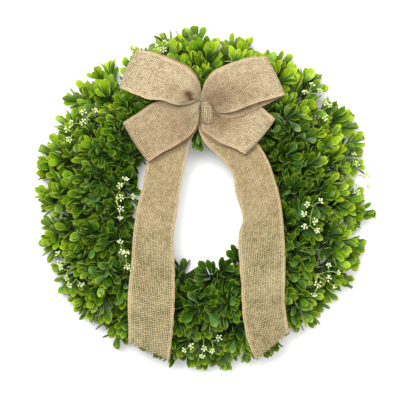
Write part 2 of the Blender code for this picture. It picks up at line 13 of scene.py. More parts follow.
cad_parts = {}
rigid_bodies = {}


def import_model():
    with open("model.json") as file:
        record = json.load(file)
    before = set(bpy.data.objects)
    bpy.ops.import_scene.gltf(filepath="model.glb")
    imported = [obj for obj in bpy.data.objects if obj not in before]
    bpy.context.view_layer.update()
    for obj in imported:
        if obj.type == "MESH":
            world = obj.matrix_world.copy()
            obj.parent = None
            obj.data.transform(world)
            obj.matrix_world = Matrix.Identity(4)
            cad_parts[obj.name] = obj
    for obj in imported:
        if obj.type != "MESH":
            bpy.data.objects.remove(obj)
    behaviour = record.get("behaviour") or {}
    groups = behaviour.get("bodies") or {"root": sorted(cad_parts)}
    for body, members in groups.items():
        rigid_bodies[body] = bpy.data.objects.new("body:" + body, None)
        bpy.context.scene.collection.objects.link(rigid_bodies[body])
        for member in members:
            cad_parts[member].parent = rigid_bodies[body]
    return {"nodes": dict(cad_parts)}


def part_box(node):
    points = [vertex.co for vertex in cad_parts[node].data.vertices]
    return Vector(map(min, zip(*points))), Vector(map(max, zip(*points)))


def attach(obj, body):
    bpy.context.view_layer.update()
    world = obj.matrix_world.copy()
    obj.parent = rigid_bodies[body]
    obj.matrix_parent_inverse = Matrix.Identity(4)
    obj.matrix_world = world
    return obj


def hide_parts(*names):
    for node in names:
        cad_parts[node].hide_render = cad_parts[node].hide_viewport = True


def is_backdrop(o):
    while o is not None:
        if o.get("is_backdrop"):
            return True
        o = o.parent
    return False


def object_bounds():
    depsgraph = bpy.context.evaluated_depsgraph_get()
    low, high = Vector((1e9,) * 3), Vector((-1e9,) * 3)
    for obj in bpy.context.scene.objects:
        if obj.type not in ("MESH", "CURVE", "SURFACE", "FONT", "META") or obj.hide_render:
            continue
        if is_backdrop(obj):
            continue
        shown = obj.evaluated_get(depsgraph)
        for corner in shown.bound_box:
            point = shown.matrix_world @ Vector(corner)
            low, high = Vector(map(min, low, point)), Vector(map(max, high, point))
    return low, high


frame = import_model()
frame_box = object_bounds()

bl_info = {
    "name": "Boxwood Wreath",
    "version": (1, 0, 0),
    "blender": (4, 5, 0),
    "location": "3D View > Sidebar > Wreath",
    "description": "Makes the leaves, flowers, vine ring and burlap bow of an artificial boxwood wreath",
    "category": "Object",
}

SEED = 11
UP = Vector((0, 0, 1))

# Camera: the view's width at the leaves' surface, its middle before the wreath was centred, and how high that
# surface lies
VIEW_WIDTH = 0.572
VIEW_MIDDLE = Vector((0.0021, 0.0014, 0))
VIEW_PLANE = 0.085
VIEW_LENS = 180
VIEW_END = 50
SENSOR_WIDTH = 36

# Stage, with each light's place, size and share of the power
FLOOR_SIZE = 12
FLOOR_DROP = 0.0003
WORLD_STRENGTH = 0.20
LIGHTS = {
    "key_light": ((-0.35, 0.60, 2.1), 1.2, 1.0),
    "fill_light": ((0.9, -0.5, 1.9), 1.6, 0.35),
}

# Frame parts
FLOWER_SPRAYS = sorted(name for name in frame["nodes"] if name.startswith("flower_spray"))
LEAFY_SPRAYS = sorted(name for name in frame["nodes"] if name.startswith("spray"))

# Vine ring: rods that twist round each other, with the angle of the lowest point of the first
ROD_COUNT = 3
ROD_RADIUS = 0.0065
ROD_STEPS = 240
ROD_SIDES = 16
RING_RADIUS = 0.152
RING_HEIGHT = 0.0142
TWISTS = 4
TWIST_RADIUS = 0.0085
LOW_POINT_ANGLE = math.radians(71.5)
FURROWS = 5
FURROW_BENDS = 7
KNOBS = 11

# A leaf's mesh: rows along it as shares of its length, with its half width there as a share of its width, and
# the curls and folds that it comes in
LEAF_ROWS = ((0.0, 0.06), (0.2, 0.12), (0.42, 0.25), (0.62, 0.4), (0.79, 0.49), (0.92, 0.39), (1.0, 0.11))
LEAF_MIDRIB_AHEAD = 0.02
LEAF_THICKNESS_SHARE = 0.022
LEAF_PATTERNS = ((0.05, 0.10), (0.16, 0.16), (-0.10, 0.14), (0.26, 0.08))

# Reading the frame's sprays: the shortest blade and bud, and how close the roots of one place on a stem stand
LEAF_BLADE_SHORTEST = 0.005
BUD_SHORTEST = 0.0017
NODE_REACH = 0.0045
UMBEL_REACH = 0.004

# Where leaves may be: their tips stay out of the hole, inside the wreath's outline, off the floor, under the
# bow and clear of the flowers
HOLE_RADIUS = 0.0765
UNDER_KNOT_IN = 0.014
UNDER_KNOT_REACH = 0.022
WREATH_RADIUS = 0.2520
WREATH_MIDDLE = Vector((0.0017, 0.0027, 0))
TIPS_ASIDE = Vector((0.0066, 0.0014, 0))
TIPS_ASIDE_REACH = (0.15, 0.24)
FLOOR_CLEARANCE = 0.0012
RIBBON_CLEARANCE = 0.0022
CLOTH_BASE = 0.055
FLOWER_ROOM = 0.0095
FLOWER_ROOM_DEPTH = 0.016

# Sprigs: how they lean and reach out, and one more that fills the place under the knot
SPRIG_LEAN_OUT = 1.5
LEAN_OUT_REACH = (0.095, 0.135)
SPRIG_LENGTHS = (0.80, 1.16)
SPRIG_CLEARANCE = 0.004
SPRIG_RADII = (0.0009, 0.0008, 0.0006, 0.0004)
STEM_SIDES = 5
UNDER_KNOT_SPRAY = "spray_inner_02"
UNDER_KNOT_SPRIG = (
    (0.003, 0.129, 0.060),
    (-0.004, 0.112, 0.068),
    (-0.0072, 0.096, 0.070),
    (-0.0060, 0.075, 0.064),
)

# Leaves on a sprig from its tip down: how far they lean in degrees, their sizes and how young they are.
# Younger leaves are lighter, and outer and upper leaves are also made lighter as painted light
PAIR_LEANS = (4, 13, 22, 31, 40, 48, 54, 58, 60)
PAIR_SIZES = (0.92, 1.0, 1.04, 1.0, 0.95, 0.9, 0.85, 0.8, 0.8)
PAIR_AGES = (1.0, 0.9, 0.7, 0.45, 0.25, 0.15, 0.1, 0.0, 0.0)
LEAF_FACES_UP = 0.38
# Outer leaves are lighter: partly their own new growth, partly a painted glow of light from behind them
YOUTH_AND_PAINTED_GLOW_REACH = (0.148, 0.233)
# Painted light from above: upper leaves are painted lighter and lower ones darker
PAINTED_LIGHT_ABOVE = 0.55

# Leaves on the bare twigs
TWIG_PAIR_APART = 0.0055
TWIG_LEAN = 58
TWIG_LEAF_SIZE = 0.92
TWIG_LEAF_AGE = 0.12

# Umbels of the flower sprays
UMBEL_PARTS = 2
UMBEL_RISE = 0.009
UMBEL_SPREAD = 0.0085
UMBEL_STALK_RADII = (0.00055, 0.0005, 0.00045)
BUD_STALK_RADII = (0.00032, 0.00045)
BUD_STALK_LENGTHS = (0.0022, 0.0038)
BUD_LEANS = (40, 68)
YELLOW_REACH = (0.17, 0.23)

# Ribbon, the knot's place before the wreath was centred, and how far centring moved everything
KNOT = Vector((0.009, 0.127, 0.098))
KNOT_ASIDE = Vector((0.0026, -0.0012, 0))
SHIFT = Vector((*(sum(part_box("bow_knot"), Vector()) / 2 - KNOT).xy, 0))
RIBBON_WIDTH = 0.0635
RIBBON_THICKNESS = 0.0009
LENGTH_STEPS = 400
CURVE_STEPS = 80
SEAM_REACH = 0.00005
SCALLOP_PITCH = 0.0042
SCALLOP_DEPTH = 0.0008
SCALLOPS_FROM = 0.44

# Knot: half its length and height, its width, its form, and its folds' and edges' depths
KNOT_HALF_LENGTH = 0.0172
KNOT_HALF_HEIGHT = 0.0088
KNOT_WIDTH = 0.0155
KNOT_TAPER = -0.08
KNOT_ROUNDING = 0.17
KNOT_BULGE = 0.14
KNOT_LEAN = 0.0014
KNOT_FOLD = 0.0008
KNOT_EDGE = 0.0018

# Loops and tails: how far along them the gathers reach, how many gathers there are, how high the waves of the
# cloth and the crown of the tails are, how much darker the loops are painted inside as painted shade, and
# where the tails are cut
LOOP_GATHER_REACH = 0.66
LOOP_GATHERS = 2.6
LOOP_WAVE = 0.0011
LOOP_INSIDE_SHADE = 0.40
TAIL_GATHER_REACH = 0.36
TAIL_GATHERS = 2.2
TAIL_WAVE = 0.0012
TAIL_CROWN = 0.0014
TAIL_REACH = 0.958
TAIL_CUT = {"left": 0.056, "right": -0.060}

# Frayed ends of the tails
FRINGE_THREADS = 34
FRINGE_REACH = 0.49
FRINGE_LENGTHS = (0.0012, 0.0042)
FRINGE_RADII = (0.00034, 0.0003, 0.00016)
FRINGE_SIDES = 4

# Tints that the materials add to the settings' colours, among them the painted shade of the ribbon's folds,
# how dark the darkest threads are, and the stretch of a tail over which the gaps between its threads change
# colour, from the loops' brown near the knot to the painted dark green of the shaded leaves that show through
LEAF_COOL = (0.36, 0.72, 0.55)
LEAF_WARM = (0.9, 1.0, 0.35)
TWIG_PALE = (0.034, 0.062, 0.010)
STALK_GREEN = (0.24, 0.34, 0.06)
BUD_WHITE = (0.74, 0.74, 0.58)
BARK_DARK = (0.035, 0.02, 0.012)
BARK_PALE = (0.24, 0.17, 0.10)
WIRE_GREEN = (0.04, 0.09, 0.03)
WIRE_WORN = (0.16, 0.19, 0.13)
BURLAP_CLOUD = (0.47, 0.385, 0.24)
BURLAP_SELVEDGE = (0.47, 0.355, 0.215)
BURLAP_EDGE = (0.36, 0.22, 0.115)
# Painted shade: the brown that the ribbon darkens towards in its folds, inside the loops and by the knot
BURLAP_PAINTED_SHADE = (0.31, 0.155, 0.055)
DARK_THREAD = 0.62
TAIL_OVER_HOLE = (0.13, 0.24)

# Places in the list of a piece's materials: leaves, buds and threads take the first, stems the second
LEAF, TWIG = 0, 1

# Bow loops, from the knot out to the fold: the two edges of the front strand, how far the fold bows out, how
# far the back strand lies aside, the height over the knot of the loop's middle and half its thickness, the
# heights of its two strands at the knot, the phase of its gathers, its creases as (share along, place across,
# reach along, reach across, depth), and its painted shade: how much darker it is painted all over, and then
# in folds given like creases, for the shade by the knot, in its creases and on the lower loops
LOOPS = {
    "upper_left": dict(
        top=((0.0090, 0.1370), (0.0034, 0.1470), (0.0016, 0.1620), (-0.0050, 0.1755), (-0.0180, 0.1890),
             (-0.0395, 0.1996), (-0.0620, 0.2090), (-0.0865, 0.2143)),
        bottom=((0.0080, 0.1400), (0.0015, 0.1432), (-0.0080, 0.1396), (-0.0200, 0.1368), (-0.0330, 0.1368),
                (-0.0500, 0.1421), (-0.0700, 0.1440), (-0.0900, 0.1514), (-0.1113, 0.1603)),
        bow=0.0034, back=(0.0020, 0.0040), level=0.0150, half_height=0.0075, strands=(0.0046, 0.0028),
        phase=0.4,
        creases=((0.26, -0.07, 0.065, 0.085, 0.0090), (0.20, -0.25, 0.060, 0.095, 0.0065),
                 (0.31, -0.37, 0.080, 0.100, -0.0036), (0.30, 0.18, 0.140, 0.090, -0.0016)),
        tone=0.0, shades=((0.12, 0.0, 0.14, 0.60, 0.26), (0.26, -0.07, 0.050, 0.10, 1.10),
                          (0.20, -0.24, 0.045, 0.10, 0.95), (0.38, -0.22, 0.17, 0.25, 0.31)),
    ),
    "upper_right": dict(
        top=((0.0110, 0.1390), (0.0046, 0.1480), (0.0066, 0.1600), (0.0120, 0.1722), (0.0240, 0.1846),
             (0.0440, 0.1938), (0.0700, 0.2022), (0.0960, 0.2042)),
        bottom=((0.0120, 0.1370), (0.0200, 0.1330), (0.0283, 0.1262), (0.0400, 0.1252), (0.0560, 0.1292),
                (0.0780, 0.1378), (0.1000, 0.1443), (0.1228, 0.1503)),
        bow=0.0012, back=(0.0040, -0.0105), level=0.0150, half_height=0.0075, strands=(0.0046, 0.0028),
        phase=1.9,
        creases=((0.15, 0.08, 0.11, 0.08, 0.0060), (0.26, -0.26, 0.13, 0.08, 0.0032)),
        tone=0.0, shades=((0.28, -0.06, 0.32, 0.48, 0.55), (0.62, -0.32, 0.16, 0.16, 0.20)),
    ),
    "lower_left": dict(
        top=((0.0060, 0.1425), (-0.0070, 0.1425), (-0.0250, 0.1420), (-0.0450, 0.1425), (-0.0625, 0.1400),
             (-0.0770, 0.1310), (-0.0923, 0.1211), (-0.1078, 0.1111)),
        bottom=((0.0060, 0.1395), (0.0016, 0.1345), (0.0008, 0.1250), (-0.0010, 0.1150), (-0.0055, 0.1020),
                (-0.0165, 0.0898), (-0.0340, 0.0785), (-0.0520, 0.0685), (-0.0718, 0.0556)),
        bow=0.0015, back=(0.0030, -0.0020), level=-0.0020, half_height=0.0045, strands=(0.0010, -0.0008),
        phase=3.3,
        creases=((0.24, 0.05, 0.14, 0.08, 0.0034), (0.30, -0.28, 0.13, 0.07, 0.0022)),
        tone=0.29, shades=((0.40, -0.10, 0.18, 0.50, 0.21), (0.12, 0.10, 0.15, 0.70, -0.34)),
    ),
    "lower_right": dict(
        top=((0.0120, 0.1330), (0.0260, 0.1300), (0.0450, 0.1300), (0.0660, 0.1345), (0.0835, 0.1370),
             (0.0920, 0.1310), (0.1000, 0.1240), (0.1092, 0.1168)),
        bottom=((0.0120, 0.1170), (0.0044, 0.1105), (0.0070, 0.1015), (0.0150, 0.0942), (0.0262, 0.0862),
                (0.0380, 0.0800), (0.0520, 0.0752), (0.0662, 0.0669)),
        bow=0.0026, back=(-0.0030, -0.0020), level=-0.0020, half_height=0.0045, strands=(0.0010, -0.0008),
        phase=5.1,
        creases=((0.26, -0.12, 0.15, 0.08, 0.0036), (0.22, 0.26, 0.12, 0.08, 0.0024)),
        tone=0.05, shades=((0.38, 0.06, 0.24, 0.55, 0.54), (0.20, 0.24, 0.09, 0.20, 0.45)),
    ),
}

# Tails, from the knot down: their left and right edges, to a square end, and the phase of their gathers
TAILS = {
    "left": dict(
        left=((0.0060, 0.1300, 0.0950), (-0.0290, 0.1120, 0.0850), (-0.0560, 0.0850, 0.0838),
              (-0.0722, 0.0558, 0.0845), (-0.0808, 0.0157, 0.0855), (-0.0894, -0.0200, 0.0868),
              (-0.0932, -0.0558, 0.0930), (-0.0962, -0.0960, 0.0992), (-0.1000, -0.1387, 0.1016),
              (-0.0998, -0.1820, 0.1000), (-0.0990, -0.2280, 0.0945)),
        right=((0.0100, 0.1230, 0.0954), (-0.0050, 0.1040, 0.0850), (-0.0150, 0.0744, 0.0840),
               (-0.0208, 0.0480, 0.0850), (-0.0270, 0.0140, 0.0860), (-0.0325, -0.0250, 0.0885),
               (-0.0366, -0.0540, 0.0930), (-0.0347, -0.0900, 0.0990), (-0.0342, -0.1300, 0.1020),
               (-0.0365, -0.1760, 0.1005), (-0.0425, -0.2310, 0.0955)),
        phase=0.7,
    ),
    "right": dict(
        left=((0.0090, 0.1230, 0.0954), (0.0004, 0.1060, 0.0868), (0.0098, 0.0830, 0.0838),
              (0.0316, 0.0611, 0.0836), (0.0490, 0.0392, 0.0845), (0.0527, 0.0150, 0.0856),
              (0.0600, -0.0100, 0.0852), (0.0636, -0.0286, 0.0880), (0.0572, -0.0500, 0.0935),
              (0.0583, -0.0862, 0.0985), (0.0612, -0.1200, 0.1010), (0.0630, -0.1600, 0.1010),
              (0.0698, -0.1972, 0.0985), (0.0835, -0.2310, 0.0960)),
        right=((0.0130, 0.1300, 0.0950), (0.0400, 0.1200, 0.0850), (0.0680, 0.1020, 0.0838),
               (0.0860, 0.0805, 0.0838), (0.0994, 0.0578, 0.0845), (0.1080, 0.0340, 0.0855),
               (0.1158, 0.0060, 0.0866), (0.1195, -0.0210, 0.0890), (0.1218, -0.0520, 0.0925),
               (0.1228, -0.0820, 0.0975), (0.1226, -0.1180, 0.1004), (0.1228, -0.1500, 0.1012),
               (0.1275, -0.1820, 0.0985), (0.1350, -0.2140, 0.0950)),
        phase=2.6,
    ),
}


# Settings

def length_setting(name, description, default, low, high):
    return FloatProperty(name=name, description=description, default=default, min=low, max=high,
                         unit="LENGTH")


def colour_setting(name, description, *default):
    return FloatVectorProperty(name=name, description=description, default=default, size=3, subtype="COLOR",
                               min=0, max=1)


class FoliageSettings(bpy.types.PropertyGroup):
    leaf_length: length_setting("Leaf length", "Length of a full-grown leaf", 0.0282, 0.01, 0.04)
    leaf_width: length_setting("Leaf width", "Width of a full-grown leaf", 0.0110, 0.005, 0.03)
    leaf_pairs: IntProperty(name="Leaf pairs", description="Pairs of leaves on each sprig under its tip leaf",
                            default=5, min=1, max=8)
    pair_apart: length_setting("Pair spacing", "Length of stem from pair to pair", 0.0062, 0.002, 0.02)
    base_colour: colour_setting("Leaf base", "Dark green at the foot of a leaf", 0.0013, 0.0090, 0.0018)
    leaf_colour: colour_setting("Leaf middle", "Green over most of a leaf", 0.0068, 0.0415, 0.0024)
    young_colour: colour_setting("Young leaf middle", "Green over most of a young leaf", 0.060, 0.168, 0.005)
    rim_colour: colour_setting("Leaf rim", "Yellow-green of a leaf's rim and tip", 0.39, 0.50, 0.014)
    under_colour: colour_setting("Leaf underside", "Paler green of a leaf's underside", 0.050, 0.120, 0.024)
    twig_colour: colour_setting("Twig", "Brown-green of the twigs", 0.020, 0.042, 0.008)


class FlowerSettings(bpy.types.PropertyGroup):
    buds: IntProperty(name="Buds", description="Buds in each small umbel", default=6, min=3, max=12)
    bud_length: length_setting("Bud length", "Length of a flower bud", 0.0033, 0.002, 0.01)
    bud_width: length_setting("Bud width", "Width of a flower bud", 0.0022, 0.001, 0.01)
    bud_colour: colour_setting("Bud", "Cream of the buds", 0.58, 0.60, 0.32)
    outer_bud_colour: colour_setting("Outer bud", "Yellow-green of the outermost buds", 0.50, 0.56, 0.17)
    stalk_colour: colour_setting("Stalk", "Pale yellow-green of the flower stalks", 0.33, 0.44, 0.095)


class BowSettings(bpy.types.PropertyGroup):
    thread_pitch: length_setting("Thread pitch", "Distance from thread to thread", 0.0025, 0.0005, 0.005)
    thread_colour: colour_setting("Thread", "Light tan of the burlap's threads", 0.448, 0.368, 0.228)
    tail_colour: colour_setting("Tails' thread", "Tan of the thin tails' threads", 0.364, 0.288, 0.151)
    gap_colour: colour_setting("Loops' gaps", "Brown between the threads of the loops", 0.125, 0.084, 0.036)
    # Painted see-through: the dark green of the shaded leaves that shows through the tails' gaps
    tail_gap_colour: colour_setting("Tails' gaps", "Dark green seen through the tails", 0.031, 0.036, 0.008)
    loop_tightness: FloatProperty(name="Loops' tightness", description="How closely the loops are woven",
                                  default=0.04, min=-0.5, max=0.5)
    tail_tightness: FloatProperty(name="Tails' tightness", description="How closely the tails are woven",
                                  default=-0.02, min=-0.5, max=0.5)
    loop_crown: length_setting("Loop crown", "How far the bow's loops bulge", 0.005, 0, 0.01)
    pleat_depth: length_setting("Pleat depth", "Depth of the gathers by the knot", 0.0011, 0, 0.004)


class VineSettings(bpy.types.PropertyGroup):
    bark_colour: colour_setting("Bark", "Brown of the vine's bark", 0.10, 0.055, 0.028)
    furrow_depth: length_setting("Furrow depth", "Depth of the furrows along the vine", 0.00045, 0, 0.002)


class StageSettings(bpy.types.PropertyGroup):
    floor_colour: colour_setting("Floor", "Colour of the pale floor", 0.94, 0.94, 0.94)
    light_power: FloatProperty(name="Light power", description="Power of the large soft light", default=87,
                               min=0, max=1000, unit="POWER")


# Shapes

def select_alone(thing=None):
    """Deselects everything, and then selects this object."""
    if bpy.context.object and bpy.context.object.mode != "OBJECT":
        bpy.ops.object.mode_set(mode="OBJECT")
    bpy.ops.object.select_all(action="DESELECT")
    if thing:
        bpy.context.view_layer.objects.active = thing
        thing.select_set(True)


def primitive(name, add, **sizes):
    """A new primitive alone in the selection."""
    select_alone()
    add(**sizes)
    thing = bpy.context.object
    thing.name = name
    thing.data.name = name
    return thing


def use_modifier(thing, kind, **values):
    """Adds a modifier with these values and applies it."""
    select_alone(thing)
    modifier = thing.modifiers.new(kind.title(), kind)
    for key, value in values.items():
        setattr(modifier, key, value)
    bpy.ops.object.modifier_apply(modifier=modifier.name)


def edit_vertices(thing, chosen, operator, **values):
    """Runs one edit-mode operator on the vertices whose indices are chosen."""
    select_alone(thing)
    bpy.ops.object.mode_set(mode="EDIT")
    bpy.ops.mesh.select_mode(type="VERT")
    bpy.ops.mesh.select_all(action="DESELECT")
    bpy.ops.object.mode_set(mode="OBJECT")
    for index in chosen:
        thing.data.vertices[index].select = True
    bpy.ops.object.mode_set(mode="EDIT")
    operator(**values)
    bpy.ops.object.mode_set(mode="OBJECT")


def join_ends(thing):
    """Merges the ends of a strip that meet."""
    edit_vertices(thing, range(len(thing.data.vertices)), bpy.ops.mesh.remove_doubles, threshold=SEAM_REACH)


def mesh_object(name, points, faces):
    """A new object from lists of points and faces."""
    mesh = bpy.data.meshes.new(name)
    mesh.from_pydata(points, [], faces)
    thing = bpy.data.objects.new(name, mesh)
    bpy.context.scene.collection.objects.link(thing)
    return thing


def remove(thing):
    bpy.data.objects.remove(thing, do_unlink=True)


def finish_piece(thing, slot, *nodes):
    """Gives a piece its body and hides the frame parts that it stands for. slot is not used."""
    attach(thing, "root")
    if nodes:
        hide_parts(*nodes)
    return thing


def mesh_arrays(mesh):
    """A mesh's points and triangles."""
    points = np.zeros(len(mesh.vertices) * 3, np.float32)
    mesh.vertices.foreach_get("co", points)
    mesh.calc_loop_triangles()
    triangles = np.zeros(len(mesh.loop_triangles) * 3, np.int32)
    mesh.loop_triangles.foreach_get("vertices", triangles)
    return points.reshape(-1, 3).astype(float), triangles.reshape(-1, 3)


def arrays_of(thing):
    """An object's evaluated points and triangles."""
    return mesh_arrays(thing.evaluated_get(bpy.context.evaluated_depsgraph_get()).to_mesh())


def welded(name):
    """A frame part's points and triangles, with the doubles merged."""
    points, triangles = mesh_arrays(frame["nodes"][name].data)
    points, same = np.unique(np.round(points, 5), axis=0, return_inverse=True)
    return points, same.reshape(-1)[triangles]


def catmull_rom(points, share):
    """The point at a share from 0 to 1 along a smooth curve through the given vectors."""
    place = min(max(share, 0.0), 1.0) * (len(points) - 1)
    k = min(int(place), len(points) - 2)
    t = place - k
    before = points[max(k - 1, 0)]
    a, b = points[k], points[k + 1]
    after = points[min(k + 2, len(points) - 1)]
    square, cube = 2 * before - 5 * a + 4 * b - after, 3 * a - before - 3 * b + after
    return 0.5 * (2 * a + (b - before) * t + square * t**2 + cube * t**3)


def even_curve(places):
    """A smooth curve through the places, as a function that gives its point at a share of its length."""
    points = [Vector(place).to_3d() for place in places]
    fine = [catmull_rom(points, i / CURVE_STEPS) for i in range(CURVE_STEPS + 1)]
    steps = [(b - a).length for a, b in zip(fine, fine[1:])]
    shares = np.concatenate(([0.0], np.cumsum(steps))) / sum(steps)
    columns = np.array([list(place) for place in fine]).T

    def point(share):
        return Vector([float(np.interp(share, shares, column)) for column in columns])

    return point


def path_length(places):
    """The length of a path from place to place."""
    return sum((Vector(b) - Vector(a)).length for a, b in zip(places, places[1:]))


def along_path(path, length):
    """The point and direction at a length along a path of points."""
    for a, b in zip(path, path[1:]):
        span = (b - a).length
        if length <= span or b is path[-1]:
            return a.lerp(b, length / span), (b - a).normalized()
        length -= span


def turned(vector, axis, angle):
    return Matrix.Rotation(angle, 3, axis) @ vector


def smooth_share(value, low, high):
    """A smooth step from 0 at low to 1 at high."""
    share = min(max((value - low) / (high - low), 0.0), 1.0)
    return share * share * (3 - 2 * share)


def tube_points(path, radii, side, sides):
    """Rings of points round a path."""
    rings = []
    for i, place in enumerate(path):
        before, after = path[max(i - 1, 0)], path[min(i + 1, len(path) - 1)]
        forward = (after - before).normalized()
        across = (side - forward * side.dot(forward)).normalized()
        normal = forward.cross(across)
        for k in range(sides):
            angle = math.tau * k / sides
            rings.append(place + (across * math.cos(angle) + normal * math.sin(angle)) * radii[i])
    return np.array([list(p) for p in rings])


def tube_faces(rings, sides):
    faces = []
    for ring in range(rings - 1):
        for k in range(sides):
            a, b = ring * sides + k, ring * sides + (k + 1) % sides
            faces += [(a, b, b + sides), (a, b + sides, a + sides)]
    for k in range(1, sides - 1):
        last = (rings - 1) * sides
        faces += [(0, k + 1, k), (last, last + k, last + k + 1)]
    return np.array(faces)


def whole(share, across):
    return share


def laid_grid(name, steps, rows, map_name, surface, uv, trim=whole):
    """A grid laid on a surface, and each vertex's share along it and place across it, -0.5 to 0.5. surface
    gives the point there, uv its place in the map, and trim the share where a share of the grid lies."""
    grid = primitive(name, bpy.ops.mesh.primitive_grid_add, x_subdivisions=steps, y_subdivisions=rows, size=1)
    own = [(trim(v.co.x + 0.5, v.co.y), v.co.y) for v in grid.data.vertices]
    for vert, place in zip(grid.data.vertices, own):
        vert.co = surface(*place) + SHIFT
    layer = grid.data.uv_layers.active or grid.data.uv_layers.new()
    layer.name = map_name
    for loop in grid.data.loops:
        layer.data[loop.index].uv = uv(*own[loop.vertex_index])
    return grid, own


class Gathering:
    """Many small shapes gathered into one mesh. A point's marks are its UV place, tone, underside and age."""

    def __init__(self):
        self.points, self.faces, self.marks, self.finishes = [], [], [], []
        self.count = 0

    def add(self, points, faces, marks, finish):
        self.points.append(points)
        self.faces.append(faces + self.count)
        self.marks.append(marks)
        self.finishes.append(np.full(len(faces), finish, np.int32))
        self.count += len(points)

    def make(self, name, materials, sharp_angle, map_name="leaf_map"):
        faces = np.concatenate(self.faces)
        marks = np.concatenate(self.marks).astype(np.float32)
        thing = mesh_object(name, np.concatenate(self.points).tolist(), faces.tolist())
        mesh = thing.data
        mesh.polygons.foreach_set("material_index", np.concatenate(self.finishes))
        for material in materials:
            mesh.materials.append(material)
        uv = mesh.uv_layers.new(name=map_name)
        uv.data.foreach_set("uv", marks[faces.ravel(), :2].ravel())
        for column, key in enumerate(("tone", "under", "age"), 2):
            attribute = mesh.attributes.new(key, "FLOAT", "POINT")
            attribute.data.foreach_set("value", np.ascontiguousarray(marks[:, column]))
        mesh.shade_smooth()
        mesh.set_sharp_from_angle(angle=math.radians(sharp_angle))
        mesh.validate()
        return thing


def no_marks(points):
    return np.zeros((len(points), 5))


def placed(pattern, root, axes, tone, age):
    """A pattern's points, set at a root along three axes, with its triangles and its marks."""
    shape, faces, marks = pattern
    marked = marks.copy()
    marked[:, 2] = tone
    marked[:, 4] = age
    return np.array(root) + shape @ np.array([list(axis) for axis in axes]), faces, marked


# Materials

class Value:
    """An output of a material's node. Arithmetic on it adds Math nodes."""

    def __init__(self, shader, socket):
        self.shader = shader
        self.socket = socket

    def __add__(self, other):
        return self.shader.math("ADD", self, other)

    def __sub__(self, other):
        return self.shader.math("SUBTRACT", self, other)

    def __rsub__(self, other):
        return self.shader.math("SUBTRACT", other, self)

    def __mul__(self, other):
        return self.shader.math("MULTIPLY", self, other)

    def __truediv__(self, other):
        return self.shader.math("DIVIDE", self, other)

    def __abs__(self):
        return self.shader.math("ABSOLUTE", self)


class Shader:
    """A Principled material and short ways to add nodes to it."""

    def __init__(self, name, roughness, **values):
        self.material = bpy.data.materials.new(name)
        self.material.use_nodes = True
        self.tree = self.material.node_tree
        self.surface = self.tree.nodes["Principled BSDF"]
        for key, value in dict(Roughness=roughness, **values).items():
            self.surface.inputs[key.replace("_", " ")].default_value = value

    def feed(self, socket, value):
        if isinstance(value, Value):
            self.tree.links.new(value.socket, socket)
        elif socket.type == "RGBA":
            socket.default_value = (*value, 1.0)
        else:
            socket.default_value = value

    def node(self, kind, output, inputs=(), **values):
        """Adds a node and gives one of its outputs."""
        made = self.tree.nodes.new(kind)
        for key, value in values.items():
            setattr(made, key, value)
        for key, value in dict(inputs).items():
            self.feed(made.inputs[key], value)
        return Value(self, made.outputs[output])

    def math(self, operation, *values):
        return self.node("ShaderNodeMath", 0, enumerate(values), operation=operation)

    def step(self, value, low, high, start=0.0, end=1.0):
        return self.node("ShaderNodeMapRange", 0, {0: value, 1: low, 2: high, 3: start, 4: end},
                         interpolation_type="SMOOTHSTEP")

    def mix(self, share, a, b, blend="MIX"):
        """A mix of two colours."""
        return self.node("ShaderNodeMix", 2, {0: share, 6: a, 7: b}, data_type="RGBA", blend_type=blend)

    def choose(self, share, a, b):
        """A mix of two numbers."""
        return self.node("ShaderNodeMix", 0, {0: share, 2: a, 3: b}, data_type="FLOAT")

    def attribute(self, name):
        return self.node("ShaderNodeAttribute", "Fac", attribute_name=name)

    def uv(self, name):
        place = self.node("ShaderNodeUVMap", "UV", uv_map=name)
        return [self.node("ShaderNodeSeparateXYZ", axis, {0: place}) for axis in ("X", "Y")]

    def place(self, x, y):
        return self.node("ShaderNodeCombineXYZ", 0, {0: x, 1: y})

    def noise(self, scale, detail=3.0, place=None):
        """Noise at a place, or else on the object's own coordinates."""
        place = place or self.node("ShaderNodeTexCoord", "Object")
        return self.node("ShaderNodeTexNoise", "Fac", {"Vector": place, "Scale": scale, "Detail": detail})

    def finished(self, colour, height=None, distance=0.0, strength=1.0):
        """The material, with its colour and its bump."""
        self.feed(self.surface.inputs["Base Color"], colour)
        if height:
            bump = {"Height": height, "Distance": distance, "Strength": strength}
            self.feed(self.surface.inputs["Normal"], self.node("ShaderNodeBump", "Normal", bump))
        return self.material


